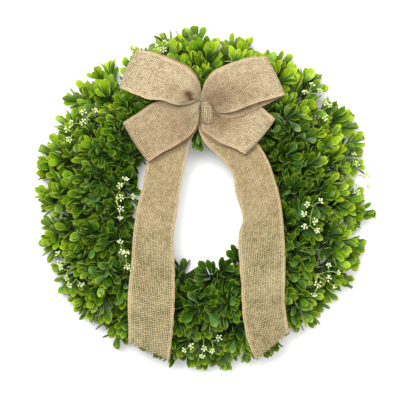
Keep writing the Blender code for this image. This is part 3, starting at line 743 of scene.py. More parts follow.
def leaf_material(settings):
    """Dark at the foot and light at the rim and tip, lighter all over when young, with a midrib, faint veins
    and a paler underside. The light rim and tip are partly the leaf's own yellow-green and partly a painted
    glow of light through the leaf, and a leaf's age also holds painted light."""
    shader = Shader("leaf_plastic", 0.40, Specular_IOR_Level=0.20)
    step, mix = shader.step, shader.mix
    across, along = shader.uv("leaf_map")
    tone, under, age = (shader.attribute(name) for name in ("tone", "under", "age"))
    beside = abs(across - 0.5)
    # Lighter rim and tip: partly the leaf's own yellow-green, partly a painted glow of light through the leaf
    rim = step(beside * 2.0, 0.58, 1.04)
    light = shader.math("MAXIMUM", rim * step(along, 0.35, 0.8), step(along, 0.70, 1.04))
    light = shader.math("MAXIMUM", light, step(along, 0.3, 1.0) * 0.5 * age)
    light = light * step(age, 0.0, 0.9, 0.3, 1.0) * step(shader.noise(210.0), 0.25, 0.7, 0.75, 1.0)
    middle = mix(step(age, 0.15, 1.0), settings.leaf_colour, settings.young_colour)
    green = mix(step(along, 0.05, 0.65), settings.base_colour, middle)
    green = mix(light, green, settings.rim_colour)
    rib = step(beside, 0.0, 0.07, 1.0, 0.0) * step(along, 0.95, 0.3)
    green = mix(rib * 0.35, green, settings.rim_colour)
    green = mix(step(tone, 0.55, 1.0, 0.0, 0.75), green, mix(0.75, green, LEAF_COOL, "MULTIPLY"))
    green = mix(step(tone, 0.4, 0.0, 0.0, 0.8), green, mix(0.4, green, LEAF_WARM, "SOFT_LIGHT"))
    below = mix(light * 0.4, settings.under_colour, settings.rim_colour)
    veins = shader.math("SINE", along * 62.0 - rim * 7.0) * 0.25
    return shader.finished(mix(step(under, 0.3, 0.7), green, below), veins - rib, 0.0002, 0.5)


def mottled_material(name, roughness, scale, colour, other, depth, strength):
    """Two colours in fine patches, for the twigs and the flowers' stalks."""
    shader = Shader(name, roughness)
    mottle = shader.noise(scale)
    return shader.finished(shader.mix(mottle, colour, other), mottle, depth, strength)


def bud_material(settings):
    """Cream, yellower on the outermost sprays and greener at the foot, each bud with its own tone."""
    shader = Shader("flower_bud", 0.5)
    _, along = shader.uv("leaf_map")
    cream = shader.mix(shader.attribute("age"), settings.bud_colour, settings.outer_bud_colour)
    pale = shader.mix(shader.step(along, 0.15, 0.55), settings.stalk_colour, cream)
    whiter = shader.mix(shader.attribute("tone") * 0.4, pale, BUD_WHITE)
    return shader.finished(whiter, shader.noise(900.0), 0.0002, 0.3)


def bark_material(settings):
    """Brown fibres along the rod, with pale blotches."""
    shader = Shader("vine_bark", 0.85)
    around, along = shader.uv("rod_map")
    fibre = shader.noise(1.0, 6.0, shader.place(around * 9.0, along * 45.0))
    brown = shader.mix(shader.step(fibre, 0.3, 0.7), BARK_DARK, settings.bark_colour)
    blotch = shader.step(shader.noise(30.0), 0.5, 0.75)
    return shader.finished(shader.mix(blotch, brown, BARK_PALE), fibre, 0.0012, 0.8)


def wire_material():
    """Green lacquer, worn in spots."""
    shader = Shader("green_wire", 0.4)
    wear = shader.step(shader.noise(420.0), 0.6, 0.75)
    return shader.finished(shader.mix(wear, WIRE_GREEN, WIRE_WORN), shader.noise(600.0), 0.0002, 0.3)


def burlap_material(name, settings, thread_colour, gap_colour, tightness):
    """Plain weave in the ribbon's own map, which is in metres: each thread has its own tone and slubs, the
    weave is looser in patches, the selvedges are dense, the folds are darker with painted shade, and the
    tails' gaps are painted with the dark green of the shaded leaves that show through them."""
    shader = Shader(name, 0.95, Specular_IOR_Level=0.12, Sheen_Weight=0.05, Sheen_Roughness=0.6)
    step, mix = shader.step, shader.mix
    along, across = shader.uv("ribbon_map")
    domes, threads, slubs = [], [], []
    for axis, other, start in ((along, across, 3.1), (across, along, 17.7)):
        count = axis / settings.thread_pitch
        off_middle = abs(shader.math("FRACT", count) * 2.0 - 1.0)
        domes.append(1.0 - shader.math("POWER", off_middle, 2.2))
        threads.append(shader.math("FLOOR", count))
        slubs.append(shader.noise(1.0, 2.0, shader.place(other * 110.0, threads[-1] * 7.31 + start)))
    odd = shader.math("MODULO", abs(threads[0] + threads[1]), 2.0)
    over = shader.math("GREATER_THAN", odd, 0.5)
    height = shader.choose(over, domes[0] * (domes[1] * 0.55 + 0.45), domes[1] * (domes[0] * 0.55 + 0.45))
    slub = shader.choose(over, *slubs)
    edge = abs(across / RIBBON_WIDTH - 0.5)
    selvedge = step(edge, 0.415, 0.445)
    patch = step(shader.noise(52.0, 2.0), 0.35, 0.68)
    loose = patch * 0.13 + (0.5 - slub) * 0.6 - tightness - selvedge * 0.15
    cover = step(height - loose, 0.20, 0.66)
    dark_thread = [value * DARK_THREAD for value in thread_colour]
    thread = mix(step(slub, 0.28, 0.70), dark_thread, thread_colour)
    thread = mix(step(shader.noise(24.0), 0.45, 0.70, 0.0, 0.35), thread, BURLAP_CLOUD)
    thread = mix(selvedge * 0.35, thread, BURLAP_SELVEDGE)
    # Painted see-through: the tails' gaps are the dark green of the shaded leaves below, brown near the knot
    gap = mix(step(along, *TAIL_OVER_HOLE), settings.gap_colour, gap_colour)
    tan = mix(cover, gap, thread)
    tan = mix(step(edge, 0.478, 0.498, 0.0, 0.3), tan, BURLAP_EDGE)
    # Painted shade from the shade attribute: darker in the folds, inside the loops and by the knot
    tan = mix(shader.attribute("shade"), tan, BURLAP_PAINTED_SHADE, "MULTIPLY")
    return shader.finished(tan, height + slub * 0.6, 0.0005, 0.9)


# Sprays of the frame

def blades_of(points, triangles, shortest, rings):
    """Each blade or bud of a spray as the rings of its points, from the tip to the root."""
    near = [set() for _ in points]
    for a, b, c in triangles:
        near[a] |= {b, c}
        near[b] |= {a, c}
        near[c] |= {a, b}
    found = []
    for tip, ring in enumerate(near):
        if len(ring) != 4 or min(np.linalg.norm(points[j] - points[tip]) for j in ring) < shortest:
            continue
        layers, seen = [{tip}], {tip}
        for _ in range(rings):
            layers.append(set().union(*(near[i] for i in layers[-1])) - seen)
            seen |= layers[-1]
        if all(len(layer) == 4 for layer in layers[1:]):
            found.append([sorted(layer) for layer in layers])
    if not found:
        raise RuntimeError("a spray of the frame shows no blades or buds")
    return found


def rooted_places(points, blades, reach):
    """The places on the stems that blades or buds grow from: each one's middle, and which way they point."""
    groups = []
    for blade in blades:
        root, tip = Vector(points[blade[-1]].mean(0)), Vector(points[blade[0]].mean(0))
        for group in groups:
            if (group[0][0] - root).length < reach:
                group.append((root, tip))
                break
        else:
            groups.append([(root, tip)])
    return [(sum((root for root, _ in group), Vector()) / len(group),
             sum((tip - root for root, tip in group), Vector()).normalized()) for group in groups]


def bare_stems(name, points, triangles, blades):
    """A spray's stems without its blades, closed where they grew, and rounded."""
    drop = {i for blade in blades for layer in blade[:-1] for i in layer}
    keep = [tri for tri in triangles.tolist() if not drop & set(tri)]
    stems = mesh_object(name + "_stems", points.tolist(), keep)
    bm = bmesh.new()
    bm.from_mesh(stems.data)
    bmesh.ops.delete(bm, geom=[v for v in bm.verts if not v.link_faces], context="VERTS")
    bmesh.ops.holes_fill(bm, edges=[e for e in bm.edges if e.is_boundary])
    bmesh.ops.recalc_face_normals(bm, faces=bm.faces)
    bm.to_mesh(stems.data)
    bm.free()
    use_modifier(stems, "SUBSURF", levels=1, render_levels=1)
    arrays = arrays_of(stems)
    remove(stems)
    return arrays


def cloth_tree():
    """One tree of all the ribbons."""
    points, faces, start = [], [], 0
    for thing in bpy.data.objects:
        if thing.name.startswith("burlap_"):
            more, triangles = arrays_of(thing)
            points += [Vector(p) for p in more.tolist()]
            faces += (triangles + start).tolist()
            start += len(more)
    return BVHTree.FromPolygons(points, faces)


def lowest_cloth(cloth, place):
    """How high the ribbon lies over a place, or None."""
    hit = cloth.ray_cast(Vector((place.x, place.y, -0.02)), UP)[0]
    return hit.z if hit else None


def add_stem(spray, points, faces, cloth):
    """Adds a stem, each of its points moved down where it would come through the ribbon."""
    for place in points:
        if place[2] > CLOTH_BASE:
            top = lowest_cloth(cloth, Vector(place))
            if top is not None:
                place[2] = min(place[2], top - RIBBON_CLEARANCE / 2)
    spray.add(points, faces, no_marks(points), TWIG)


def add_stalk(spray, path, radii, cloth, side=None):
    """Adds a round stem along a path."""
    if side is None:
        side = (path[-1] - path[0]).orthogonal().normalized()
    add_stem(spray, tube_points(path, radii, side, STEM_SIDES), tube_faces(len(path), STEM_SIDES), cloth)


# Leaves

def half_width_at(along):
    return float(np.interp(along, *zip(*LEAF_ROWS)))


def leaf_pattern(curl, fold):
    """A paddle-shaped leaf, one long: its points, triangles and marks. The upper side faces +Z."""
    leaf = primitive("leaf_pattern", bpy.ops.mesh.primitive_grid_add, x_subdivisions=2,
                     y_subdivisions=len(LEAF_ROWS) - 1, size=1)
    upper = len(leaf.data.vertices)
    flat = [v.co.copy() for v in leaf.data.vertices]
    order = sorted(range(upper), key=lambda i: (round(flat[i].y, 4), flat[i].x))
    for row, (along, half) in enumerate(LEAF_ROWS):
        chosen = order[row * 3:row * 3 + 3]
        was = leaf.data.vertices[chosen[0]].co.y
        edit_vertices(leaf, chosen, bpy.ops.transform.resize, value=(2 * half, 1, 1))
        edit_vertices(leaf, chosen, bpy.ops.transform.translate, value=(0, along - was, -curl * along**2))
        edit_vertices(leaf, chosen[1:2], bpy.ops.transform.translate,
                      value=(0, LEAF_MIDRIB_AHEAD * along**3, -fold * half))
    places = [(v.co.x / max(0.05, 2 * half_width_at(v.co.y)) + 0.5, min(1.0, max(0.0, v.co.y)))
              for v in leaf.data.vertices]
    use_modifier(leaf, "SOLIDIFY", thickness=LEAF_THICKNESS_SHARE, offset=-1)
    points, faces = arrays_of(leaf)
    marks = no_marks(points)
    marks[:, :2] = np.array(places * 2)[:len(points)]
    marks[upper:, 3] = 1.0
    remove(leaf)
    return points, faces, marks


def aside(place):
    """A place in the foliage, moved the way that the leaf tips stand off the ring's middle."""
    return place + TIPS_ASIDE * smooth_share((place - SHIFT).xy.length, *TIPS_ASIDE_REACH)


def leaned_out(path, draw):
    """A sprig's path, bent outwards over its length, and longer or shorter than its blade."""
    root, reach = path[0], path[-1] - path[0]
    outward = root.xy.normalized().to_3d()
    straight = reach.normalized()
    weight = SPRIG_LEAN_OUT * smooth_share(root.xy.length, *LEAN_OUT_REACH)
    weight *= 1 - max(0.0, straight.dot(outward))
    turn = straight.rotation_difference((straight + outward * weight).normalized())
    longer = draw.uniform(*SPRIG_LENGTHS)
    bent = []
    for number, place in enumerate(path):
        share = (number / (len(path) - 1)) ** 0.6
        place = aside(root + Quaternion().slerp(turn, share) @ (place - root) * longer)
        place.z = max(place.z, SPRIG_CLEARANCE)
        bent.append(place)
    return bent


def hole_radius(place):
    """How far from the wreath's middle the leaves stay, which is less under the knot."""
    return HOLE_RADIUS - UNDER_KNOT_IN * math.exp(-(place.x / UNDER_KNOT_REACH)**2) * (place.y > 0)


def settled(root, ahead, side, length, width, cloth):
    """The leaf's direction, turned down under the ribbon, up off the floor and out of the hole, or None."""
    tip = ahead * length
    for share, across in ((1.05, 0), (0.8, 0.6), (0.8, -0.6), (0.5, 0.5), (0.5, -0.5), (0.25, 0)):
        place = root + tip * share + side * width * across
        top = lowest_cloth(cloth, place)
        if top is not None and place.z > top - RIBBON_CLEARANCE:
            if share < 0.3:
                return None
            tip = tip - UP * ((place.z - top + RIBBON_CLEARANCE) / share)
    if -tip.z > length * 1.05:
        return None
    end = root + tip
    if end.z < FLOOR_CLEARANCE + width * 0.3:
        tip.z += FLOOR_CLEARANCE + width * 0.3 - end.z
    end = root + tip
    if end.xy.length < hole_radius(end):
        tip += end.xy.normalized().to_3d() * (hole_radius(end) - end.xy.length)
    past = (end - WREATH_MIDDLE).xy
    if past.length > WREATH_RADIUS:
        tip -= past.normalized().to_3d() * (past.length - WREATH_RADIUS)
    return tip.normalized()


def leaves_at(stem, forward, side, lean, first_turn, count, size, age, settings, cloth, draw):
    """The leaves evenly round one place on a stem: root, direction, face, length, width, tone and age."""
    across = (side - forward * side.dot(forward)).normalized()
    normal = across.cross(forward)
    if normal.z < 0:
        normal = -normal
    leaves = []
    for number in range(count):
        turn = first_turn + math.tau * number / count + draw.uniform(-0.28, 0.28)
        spoke = across * math.cos(turn) + normal * math.sin(turn) * 0.85
        tilt = math.radians(lean + draw.uniform(-7, 7))
        ahead = (forward * math.cos(tilt) + spoke * math.sin(tilt)).normalized()
        face = (forward * math.sin(tilt) - spoke * math.cos(tilt)) * (1 - LEAF_FACES_UP) + UP * LEAF_FACES_UP
        own = size * draw.uniform(0.88, 1.10)
        length, width = settings.leaf_length * own, settings.leaf_width * own * draw.uniform(0.9, 1.08)
        ahead = settled(stem, ahead, ahead.cross(face).normalized(), length, width, cloth)
        if ahead is None:
            continue
        face = turned((face - ahead * face.dot(ahead)).normalized(), ahead, draw.gauss(0, 0.25))
        tip = stem + ahead * length
        # Painted light: outer leaves lighter, partly as new growth; upper leaves lighter and lower ones
        # darker
        young = 0.12 + 0.88 * smooth_share(tip.xy.length, *YOUTH_AND_PAINTED_GLOW_REACH)
        young *= 1 + PAINTED_LIGHT_ABOVE * tip.y / WREATH_RADIUS
        leaves.append((stem + spoke * 0.0004, ahead, face, length, width, draw.random(),
                       (0.25 + 0.75 * age) * young * draw.uniform(0.7, 1.1)))
    return leaves


def sprig(path, side, settings, cloth, draw):
    """The leaves of one sprig: a leaf at its tip and pairs below, each turned a quarter from the last."""
    total = path_length(path)
    first_turn = draw.uniform(0, math.pi)
    leaves = []
    for pair in range(settings.leaf_pairs + 1):
        place = total - settings.leaf_length * 0.95 - max(0, pair - 0.6) * settings.pair_apart
        if pair and place < 0.001:
            break
        stem, forward = along_path(path, max(place, 0.0))
        turn = first_turn + math.pi / 2 * pair if pair else -math.pi / 2
        leaves += leaves_at(stem, forward, side, PAIR_LEANS[pair], turn, 2 if pair else 1, PAIR_SIZES[pair],
                            PAIR_AGES[pair], settings, cloth, draw)
    return leaves


def pairs_along(start, end, settings, cloth, draw):
    """The pairs of leaves on a bare stretch of stem or twig."""
    reach = end - start
    forward = reach.normalized()
    side = forward.cross(UP) if abs(forward.z) < 0.95 else Vector((1, 0, 0))
    count = int(reach.length / TWIG_PAIR_APART)
    turn = draw.uniform(-0.6, 0.6)
    leaves = []
    for number in range(count):
        stem = start + reach * (number + 0.7) / count
        leaves += leaves_at(stem, forward, side, TWIG_LEAN, turn + math.pi / 2 * number, 2, TWIG_LEAF_SIZE,
                            TWIG_LEAF_AGE, settings, cloth, draw)
    return leaves


def ring_distance(place):
    """How far a place is from the middle line of the vine ring."""
    return math.hypot(place.xy.length - RING_RADIUS, place.z - RING_HEIGHT)


def kept_clear(shape, cloth):
    """A leaf's points, moved down where they would come through the ribbon, up where they would meet the
    floor and in where they would pass the wreath's outline. The two sides of the leaf move together."""
    half = len(shape) // 2
    outward = shape[:, :2] - np.array(WREATH_MIDDLE.xy)
    reach = np.linalg.norm(outward, axis=1)
    shape[:, :2] -= outward * (np.maximum(0, reach - WREATH_RADIUS) / reach)[:, None]
    rise = np.maximum(0, FLOOR_CLEARANCE / 2 - shape[:, 2])
    rise = np.tile(np.maximum(rise[:half], rise[half:]), 2)
    middle = Vector(shape.mean(0))
    if middle.z > CLOTH_BASE and cloth.find_nearest(middle, 0.03)[0]:
        over = np.zeros(len(shape))
        for i, place in enumerate(shape):
            top = lowest_cloth(cloth, Vector(place))
            if top is not None:
                over[i] = max(0.0, place[2] - top + RIBBON_CLEARANCE / 2)
        rise = rise - np.tile(np.maximum(over[:half], over[half:]), 2)
    shape[:, 2] += rise
    return shape


def crowds(root, ahead, length, flowers):
    """Whether a leaf would stand over a flower."""
    for share in (0.45, 1.0):
        place = root + ahead * (length * share)
        beside = np.hypot(flowers[:, 0] - place.x, flowers[:, 1] - place.y)
        if np.any((beside < FLOWER_ROOM) & (place.z > flowers[:, 2] - FLOWER_ROOM_DEPTH)):
            return True
    return False


def sprig_paths(name, points, blades, draw):
    """Each sprig of a spray as its path, its bare stem and its side: one a blade, and one under the knot."""
    for blade in blades:
        path = leaned_out([Vector(points[layer].mean(0)) for layer in reversed(blade)], draw)
        ring = [Vector(points[i]) for i in blade[1]]
        side = max(((a - b) for a in ring for b in ring), key=lambda v: v.length).normalized()
        yield path, path[:3] + [path[2].lerp(path[3], 0.2)], side
    if name == UNDER_KNOT_SPRAY:
        path = [Vector(place) for place in UNDER_KNOT_SPRIG]
        yield path, path, Vector((1, 0, 0))


def leafy_spray(name, patterns, settings, cloth, flowers, materials):
    """One leafy spray: its stems, and leaves on its sprigs and on its bare stems."""
    draw = random.Random(f"{SEED} {name}")
    points, triangles = welded(name)
    blades = blades_of(points, triangles, LEAF_BLADE_SHORTEST, 3)
    spray = Gathering()
    stems, stem_faces = bare_stems(name, points, triangles, blades)
    add_stem(spray, np.array([list(aside(Vector(place))) for place in stems]), stem_faces, cloth)
    leaves = []
    for path, stem, side in sprig_paths(name, points, blades, draw):
        add_stalk(spray, stem, SPRIG_RADII, cloth, side)
        leaves += sprig(path, side, settings, cloth, draw)
    nodes = sorted((middle for middle, _ in rooted_places(points, blades, NODE_REACH)), key=ring_distance)
    foot = Vector(min(points.tolist(), key=lambda place: ring_distance(Vector(place))))
    for start, end in [(foot, nodes[0])] + [(nodes[0], node) for node in nodes[1:]]:
        leaves += pairs_along(aside(start), aside(end), settings, cloth, draw)
    for root, ahead, face, length, width, tone, age in leaves:
        if crowds(root, ahead, length, flowers):
            continue
        axes = ahead.cross(face) * width, ahead * length, face * length
        shape, faces, marks = placed(patterns[draw.randrange(len(patterns))], root, axes, tone, age)
        spray.add(kept_clear(shape, cloth), faces, marks, LEAF)
    return finish_piece(spray.make(name + "_leaves", materials, 60), "leaf", name)


class WREATH_OT_leafy_sprays(bpy.types.Operator):
    """Grows a leafy sprig on every blade of the frame's leafy sprays"""
    bl_idname = "wreath.leafy_sprays"
    bl_label = "Leafy Sprays"

    def execute(self, context):
        settings = context.scene.wreath_foliage
        patterns = [leaf_pattern(curl, fold) for curl, fold in LEAF_PATTERNS]
        twig = mottled_material("twig_plastic", 0.6, 160.0, settings.twig_colour, TWIG_PALE, 0.0003, 0.5)
        materials = [leaf_material(settings), twig]
        cloth = cloth_tree()
        flowers = np.array([list(place) for name in FLOWER_SPRAYS for place in flower_heads(name)])
        for name in LEAFY_SPRAYS:
            leafy_spray(name, patterns, settings, cloth, flowers, materials)
        return {"FINISHED"}


# Flowers

def bud_pattern():
    """A drop-shaped bud, one long, its tip at +Z: its points, triangles and marks."""
    bud = primitive("bud_pattern", bpy.ops.mesh.primitive_uv_sphere_add, segments=7, ring_count=5, radius=0.5)
    edit_vertices(bud, range(len(bud.data.vertices)), bpy.ops.transform.translate, value=(0, 0, 0.5))
    for vert in bud.data.vertices:
        taper = 0.55 + 0.9 * math.sin(math.pi * min(1.0, vert.co.z * 0.95 + 0.12)) ** 1.3
        vert.co.x *= taper
        vert.co.y *= taper
    points, faces = arrays_of(bud)
    marks = no_marks(points)
    marks[:, 0] = 0.5
    marks[:, 1] = points[:, 2]
    remove(bud)
    return points, faces, marks


def umbel_parts(name, middle, aim):
    """The small umbels that a flower head divides into: the middle of each and the way that it faces."""
    draw = random.Random(f"{SEED} {name} {middle.x:.4f}")
    aim = (aim + UP * 0.5).normalized()
    side = aim.orthogonal().normalized()
    head = middle + aim * UMBEL_RISE * draw.uniform(0.8, 1.2)
    first = draw.uniform(0, math.tau)
    parts = []
    for number in range(UMBEL_PARTS):
        spoke = turned(side, aim, first + math.tau * number / UMBEL_PARTS + draw.uniform(-0.4, 0.4))
        place = head + (spoke + aim * draw.uniform(-0.3, 0.5)) * UMBEL_SPREAD * draw.uniform(0.8, 1.1)
        parts.append((place, (aim + spoke * 0.5).normalized()))
    return parts


def flower_heads(name):
    """The middles of a flower spray's small umbels."""
    points, triangles = welded(name)
    umbels = rooted_places(points, blades_of(points, triangles, BUD_SHORTEST, 2), UMBEL_REACH)
    return [place for middle, aim in umbels for place, _ in umbel_parts(name, middle, aim)]


def small_umbel(spray, middle, aim, pattern, settings, cloth, draw):
    """One small umbel: a bud in the middle and the others round it, each on its stalk."""
    side = aim.orthogonal().normalized()
    for number in range(settings.buds):
        turn = math.tau * number / (settings.buds - 1) + draw.uniform(-0.3, 0.3)
        lean = math.radians(draw.uniform(*BUD_LEANS)) if number else 0.0
        ahead = (aim * math.cos(lean) + turned(side, aim, turn) * math.sin(lean)).normalized()
        root = middle + ahead * draw.uniform(*BUD_STALK_LENGTHS)
        length = settings.bud_length * draw.uniform(0.85, 1.1)
        tip = root + ahead * length
        top = lowest_cloth(cloth, tip)
        if top is not None and tip.z > top - RIBBON_CLEARANCE:
            continue
        add_stalk(spray, [middle - ahead * 0.0004, root + ahead * 0.0004], BUD_STALK_RADII, cloth)
        across = ahead.orthogonal().normalized()
        wide = settings.bud_width * draw.uniform(0.85, 1.1)
        axes = across * wide, ahead.cross(across) * wide, ahead * length
        yellow = smooth_share(middle.xy.length, *YELLOW_REACH)
        spray.add(*placed(pattern, root, axes, draw.random(), yellow), LEAF)


def flower_spray(name, pattern, settings, cloth, materials):
    """One flower spray: its stems, and small umbels of buds where the frame's buds stand."""
    draw = random.Random(f"{SEED} {name}")
    points, triangles = welded(name)
    buds = blades_of(points, triangles, BUD_SHORTEST, 2)
    spray = Gathering()
    add_stem(spray, *bare_stems(name, points, triangles, buds), cloth)
    for middle, aim in rooted_places(points, buds, UMBEL_REACH):
        for place, facing in umbel_parts(name, middle, aim):
            bend = middle.lerp(place, 0.5) + (aim - facing) * 0.002
            add_stalk(spray, [middle - aim * 0.001, bend, place], UMBEL_STALK_RADII, cloth)
            small_umbel(spray, place, facing, pattern, settings, cloth, draw)
    return finish_piece(spray.make(name + "_buds", materials, 80), "flower", name)


class WREATH_OT_flower_sprays(bpy.types.Operator):
    """Makes the umbels of cream buds on the frame's flower sprays"""
    bl_idname = "wreath.flower_sprays"
    bl_label = "Flower Sprays"

    def execute(self, context):
        settings = context.scene.wreath_flowers
        pattern = bud_pattern()
        stalk = mottled_material("flower_stalk", 0.55, 240.0, settings.stalk_colour, STALK_GREEN, 0.0002, 0.4)
        materials = [bud_material(settings), stalk]
        cloth = cloth_tree()
        for name in FLOWER_SPRAYS:
            flower_spray(name, pattern, settings, cloth, materials)
        return {"FINISHED"}


# Bow

def plain(share, across):
    return 0.0


def cloth_strip(name, surface, steps, rows, material, trim=whole, shade=plain, width=RIBBON_WIDTH,
                closed=False):
    """A strip of ribbon, with its map in metres, and its length. shade says how dark the cloth is painted, as
    painted shade.
    """
    shares = np.linspace(0, 1, LENGTH_STEPS + 1)
    middles = [surface(share, 0.0) for share in shares]
    lengths = np.concatenate(([0.0], np.cumsum([(b - a).length for a, b in zip(middles, middles[1:])])))

    def uv(share, across):
        return float(np.interp(share, shares, lengths)), across * width + RIBBON_WIDTH / 2

    strip, own = laid_grid(name, steps, rows, "ribbon_map", surface, uv, trim)
    darkness = strip.data.attributes.new("shade", "FLOAT", "POINT")
    darkness.data.foreach_set("value", [min(1.0, shade(*place)) for place in own])
    if closed:
        join_ends(strip)
    use_modifier(strip, "SOLIDIFY", thickness=RIBBON_THICKNESS, offset=0, use_even_offset=False)
    strip.data.shade_smooth()
    strip.data.set_sharp_from_angle(angle=math.radians(70))
    strip.data.materials.append(material)
    return strip, float(np.interp(trim(1.0, 0.0), shares, lengths))


def crown_at(across):
    """1 at the ribbon's middle and 0 at its edges."""
    return 1 - (2 * across)**2


def selvedge_out(length, across):
    """How far the selvedge's small bulges reach across, at a length along the ribbon."""
    if abs(across) < SCALLOPS_FROM:
        return 0.0
    bulge = SCALLOP_DEPTH * math.sin(math.tau * length / SCALLOP_PITCH)
    return math.copysign(bulge * (abs(across) - SCALLOPS_FROM) / (0.5 - SCALLOPS_FROM), across)


def crease(spec, along, across):
    """How deep a crease runs at a place on the ribbon."""
    middle, beside, reach, width, depth = spec
    return depth * math.exp(-((along - middle) / reach)**2 - ((across - beside) / width)**2)


def loop_profile(loop):
    """A loop's section from the knot, round the fold and back, as share along and height."""
    level, half = loop["level"], loop["half_height"]
    front, back = loop["strands"]
    return [Vector(place) for place in (
        (0.0, front),
        (0.05, front),
        (0.11, front + (level - front) * 0.12),
        (0.20, front + (level - front) * 0.75),
        (0.38, level + half * 0.95),
        (0.70, level + half),
        (0.93, level + half * 0.86),
        (0.985, level + half * 0.5),
        (1.0, level),
        (0.985, level - half * 0.5),
        (0.93, level - half * 0.86),
        (0.70, level - half),
        (0.38, level - half * 0.85),
        (0.20, back + (level - half - back) * 0.60),
        (0.11, back + (level - half - back) * 0.10),
        (0.05, back),
        (0.0, back),
    )]


def loop_shade(name):
    """How dark a loop's cloth is painted as shade: darker in its folds, by the knot and inside, and all over
    on the lower loops.
    """
    loop = LOOPS[name]
    profile = loop_profile(loop)

    def shade(share, across):
        along = catmull_rom(profile, share).x
        if share < 0.5:
            return loop["tone"] + sum(crease(spec, along, across) for spec in loop["shades"])
        return loop["tone"] + LOOP_INSIDE_SHADE

    return shade


def loop_surface(name, settings):
    """A loop's surface, from the knot along its front, round its fold and back along its back."""
    loop = LOOPS[name]
    top, bottom = even_curve(loop["top"]), even_curve(loop["bottom"])
    length = path_length(loop["top"])
    outward = (top(1.0) + bottom(1.0) - top(0.0) - bottom(0.0)).normalized()
    aside_back = Vector(loop["back"]).to_3d()
    phase = loop["phase"]
    profile = loop_profile(loop)

    def surface(share, across):
        along, height = catmull_rom(profile, share)
        along = min(1.0, max(0.0, along))
        facing = math.cos(math.pi * share)
        low, high = bottom(along), top(along)
        middle = low.lerp(high, across + 0.5)
        middle += outward * loop["bow"] * along**3 * crown_at(across)
        middle += aside_back * max(0.0, -facing) ** 0.5 * math.sin(math.pi * along)
        gather = max(0.0, 1 - along / LOOP_GATHER_REACH) ** 1.3 * min(1.0, along / 0.06)
        pleats = settings.pleat_depth * gather * math.cos(math.tau * LOOP_GATHERS * across + phase)
        crown = settings.loop_crown * math.sin(math.pi * along ** 0.7) * crown_at(across)
        wave = LOOP_WAVE * math.sin(math.tau * (along * 1.6 + across * 0.7) + phase) * min(1.0, along * 2)
        dents = sum(crease(spec, along, across) for spec in loop["creases"]) * min(1.0, along / 0.06)
        lift = facing * (pleats + (crown if facing > 0 else crown * 0.3)) + wave - max(0.0, facing) * dents
        side = (high - low).normalized()
        return middle + side * selvedge_out(along * length, across) + UP * (KNOT.z + height + lift)

    return surface


class WREATH_OT_bow_loops(bpy.types.Operator):
    """Makes the four loops of the bow"""
    bl_idname = "wreath.bow_loops"
    bl_label = "Bow Loops"

    def execute(self, context):
        settings = context.scene.wreath_bow
        material = burlap_material("burlap_cloth", settings, settings.thread_colour, settings.gap_colour,
                                   settings.loop_tightness)
        for name in LOOPS:
            surface = loop_surface(name, settings)
            piece, length = cloth_strip("burlap_loop_" + name, surface, 120, 22, material,
                                        shade=loop_shade(name))
            finish_piece(piece, "burlap", "bow_loop_" + name)
        return {"FINISHED"}


def tail_trim(name):
    """Where a tail ends: slanted across by its cut."""
    def trim(share, across):
        return share * (TAIL_REACH + TAIL_CUT[name] * across * share)

    return trim


def tail_surface(name, settings):
    """A tail's surface, from under the knot down to a square end."""
    tail = TAILS[name]
    left, right = even_curve(tail["left"]), even_curve(tail["right"])
    length = path_length(tail["left"])
    phase = tail["phase"]

    def surface(share, across):
        share = min(share, 1.0)
        low, high = left(share), right(share)
        gather = max(0.0, 1 - share / TAIL_GATHER_REACH) ** 1.2
        pleats = settings.pleat_depth * 0.9 * gather * math.cos(math.tau * TAIL_GATHERS * across + phase)
        free = min(1.0, share * 3)
        wave = TAIL_WAVE * math.sin(math.tau * (share * 3.4 + across * 0.55) + phase) * free
        crown = TAIL_CROWN * free * crown_at(across)
        edge = (high - low).normalized() * selvedge_out(share * length, across)
        return low.lerp(high, across + 0.5) + edge + UP * (pleats + wave + crown)

    return surface


def fringe(name, surface, trim, material):
    """Loose threads at a tail's cut end."""
    draw = random.Random(f"{SEED} {name}")
    gathering = Gathering()
    for number in range(FRINGE_THREADS):
        across = FRINGE_REACH * (2 * (number + draw.uniform(-0.3, 0.3)) / (FRINGE_THREADS - 1) - 1)
        across = min(FRINGE_REACH, max(-FRINGE_REACH, across))
        end = surface(trim(1.0, across), across) + SHIFT
        inside = surface(trim(0.985, across), across) + SHIFT
        ahead = (end - inside).normalized()
        side = ahead.cross(UP).normalized()
        length = draw.uniform(*FRINGE_LENGTHS)
        bend = side * draw.uniform(-0.35, 0.35) - UP * draw.uniform(0.0, 0.3)
        path = [end - ahead * 0.0016, end + ahead * length * 0.5, end + (ahead + bend) * length]
        tube = tube_points(path, FRINGE_RADII, side, FRINGE_SIDES)
        marks = no_marks(tube)
        marks[:, 0] = np.repeat([0, 0.002, 0.004], FRINGE_SIDES)
        marks[:, 1] = RIBBON_WIDTH * (across + 0.5)
        gathering.add(tube, tube_faces(3, FRINGE_SIDES), marks, LEAF)
    return finish_piece(gathering.make(name, [material], 80, "ribbon_map"), "burlap")


class WREATH_OT_bow_tails(bpy.types.Operator):
    """Makes the two long tails of the bow, with frayed ends"""
    bl_idname = "wreath.bow_tails"
    bl_label = "Bow Tails"

    def execute(self, context):
        settings = context.scene.wreath_bow
        material = burlap_material("burlap_tails", settings, settings.tail_colour, settings.tail_gap_colour,
                                   settings.tail_tightness)
        for name in TAILS:
            surface, trim = tail_surface(name, settings), tail_trim(name)
            piece, length = cloth_strip("burlap_tail_" + name, surface, 170, 16, material, trim)
            finish_piece(piece, "burlap", "bow_tail_" + name)
            threads = fringe(f"frayed_end_{name}", surface, trim, material)
        return {"FINISHED"}


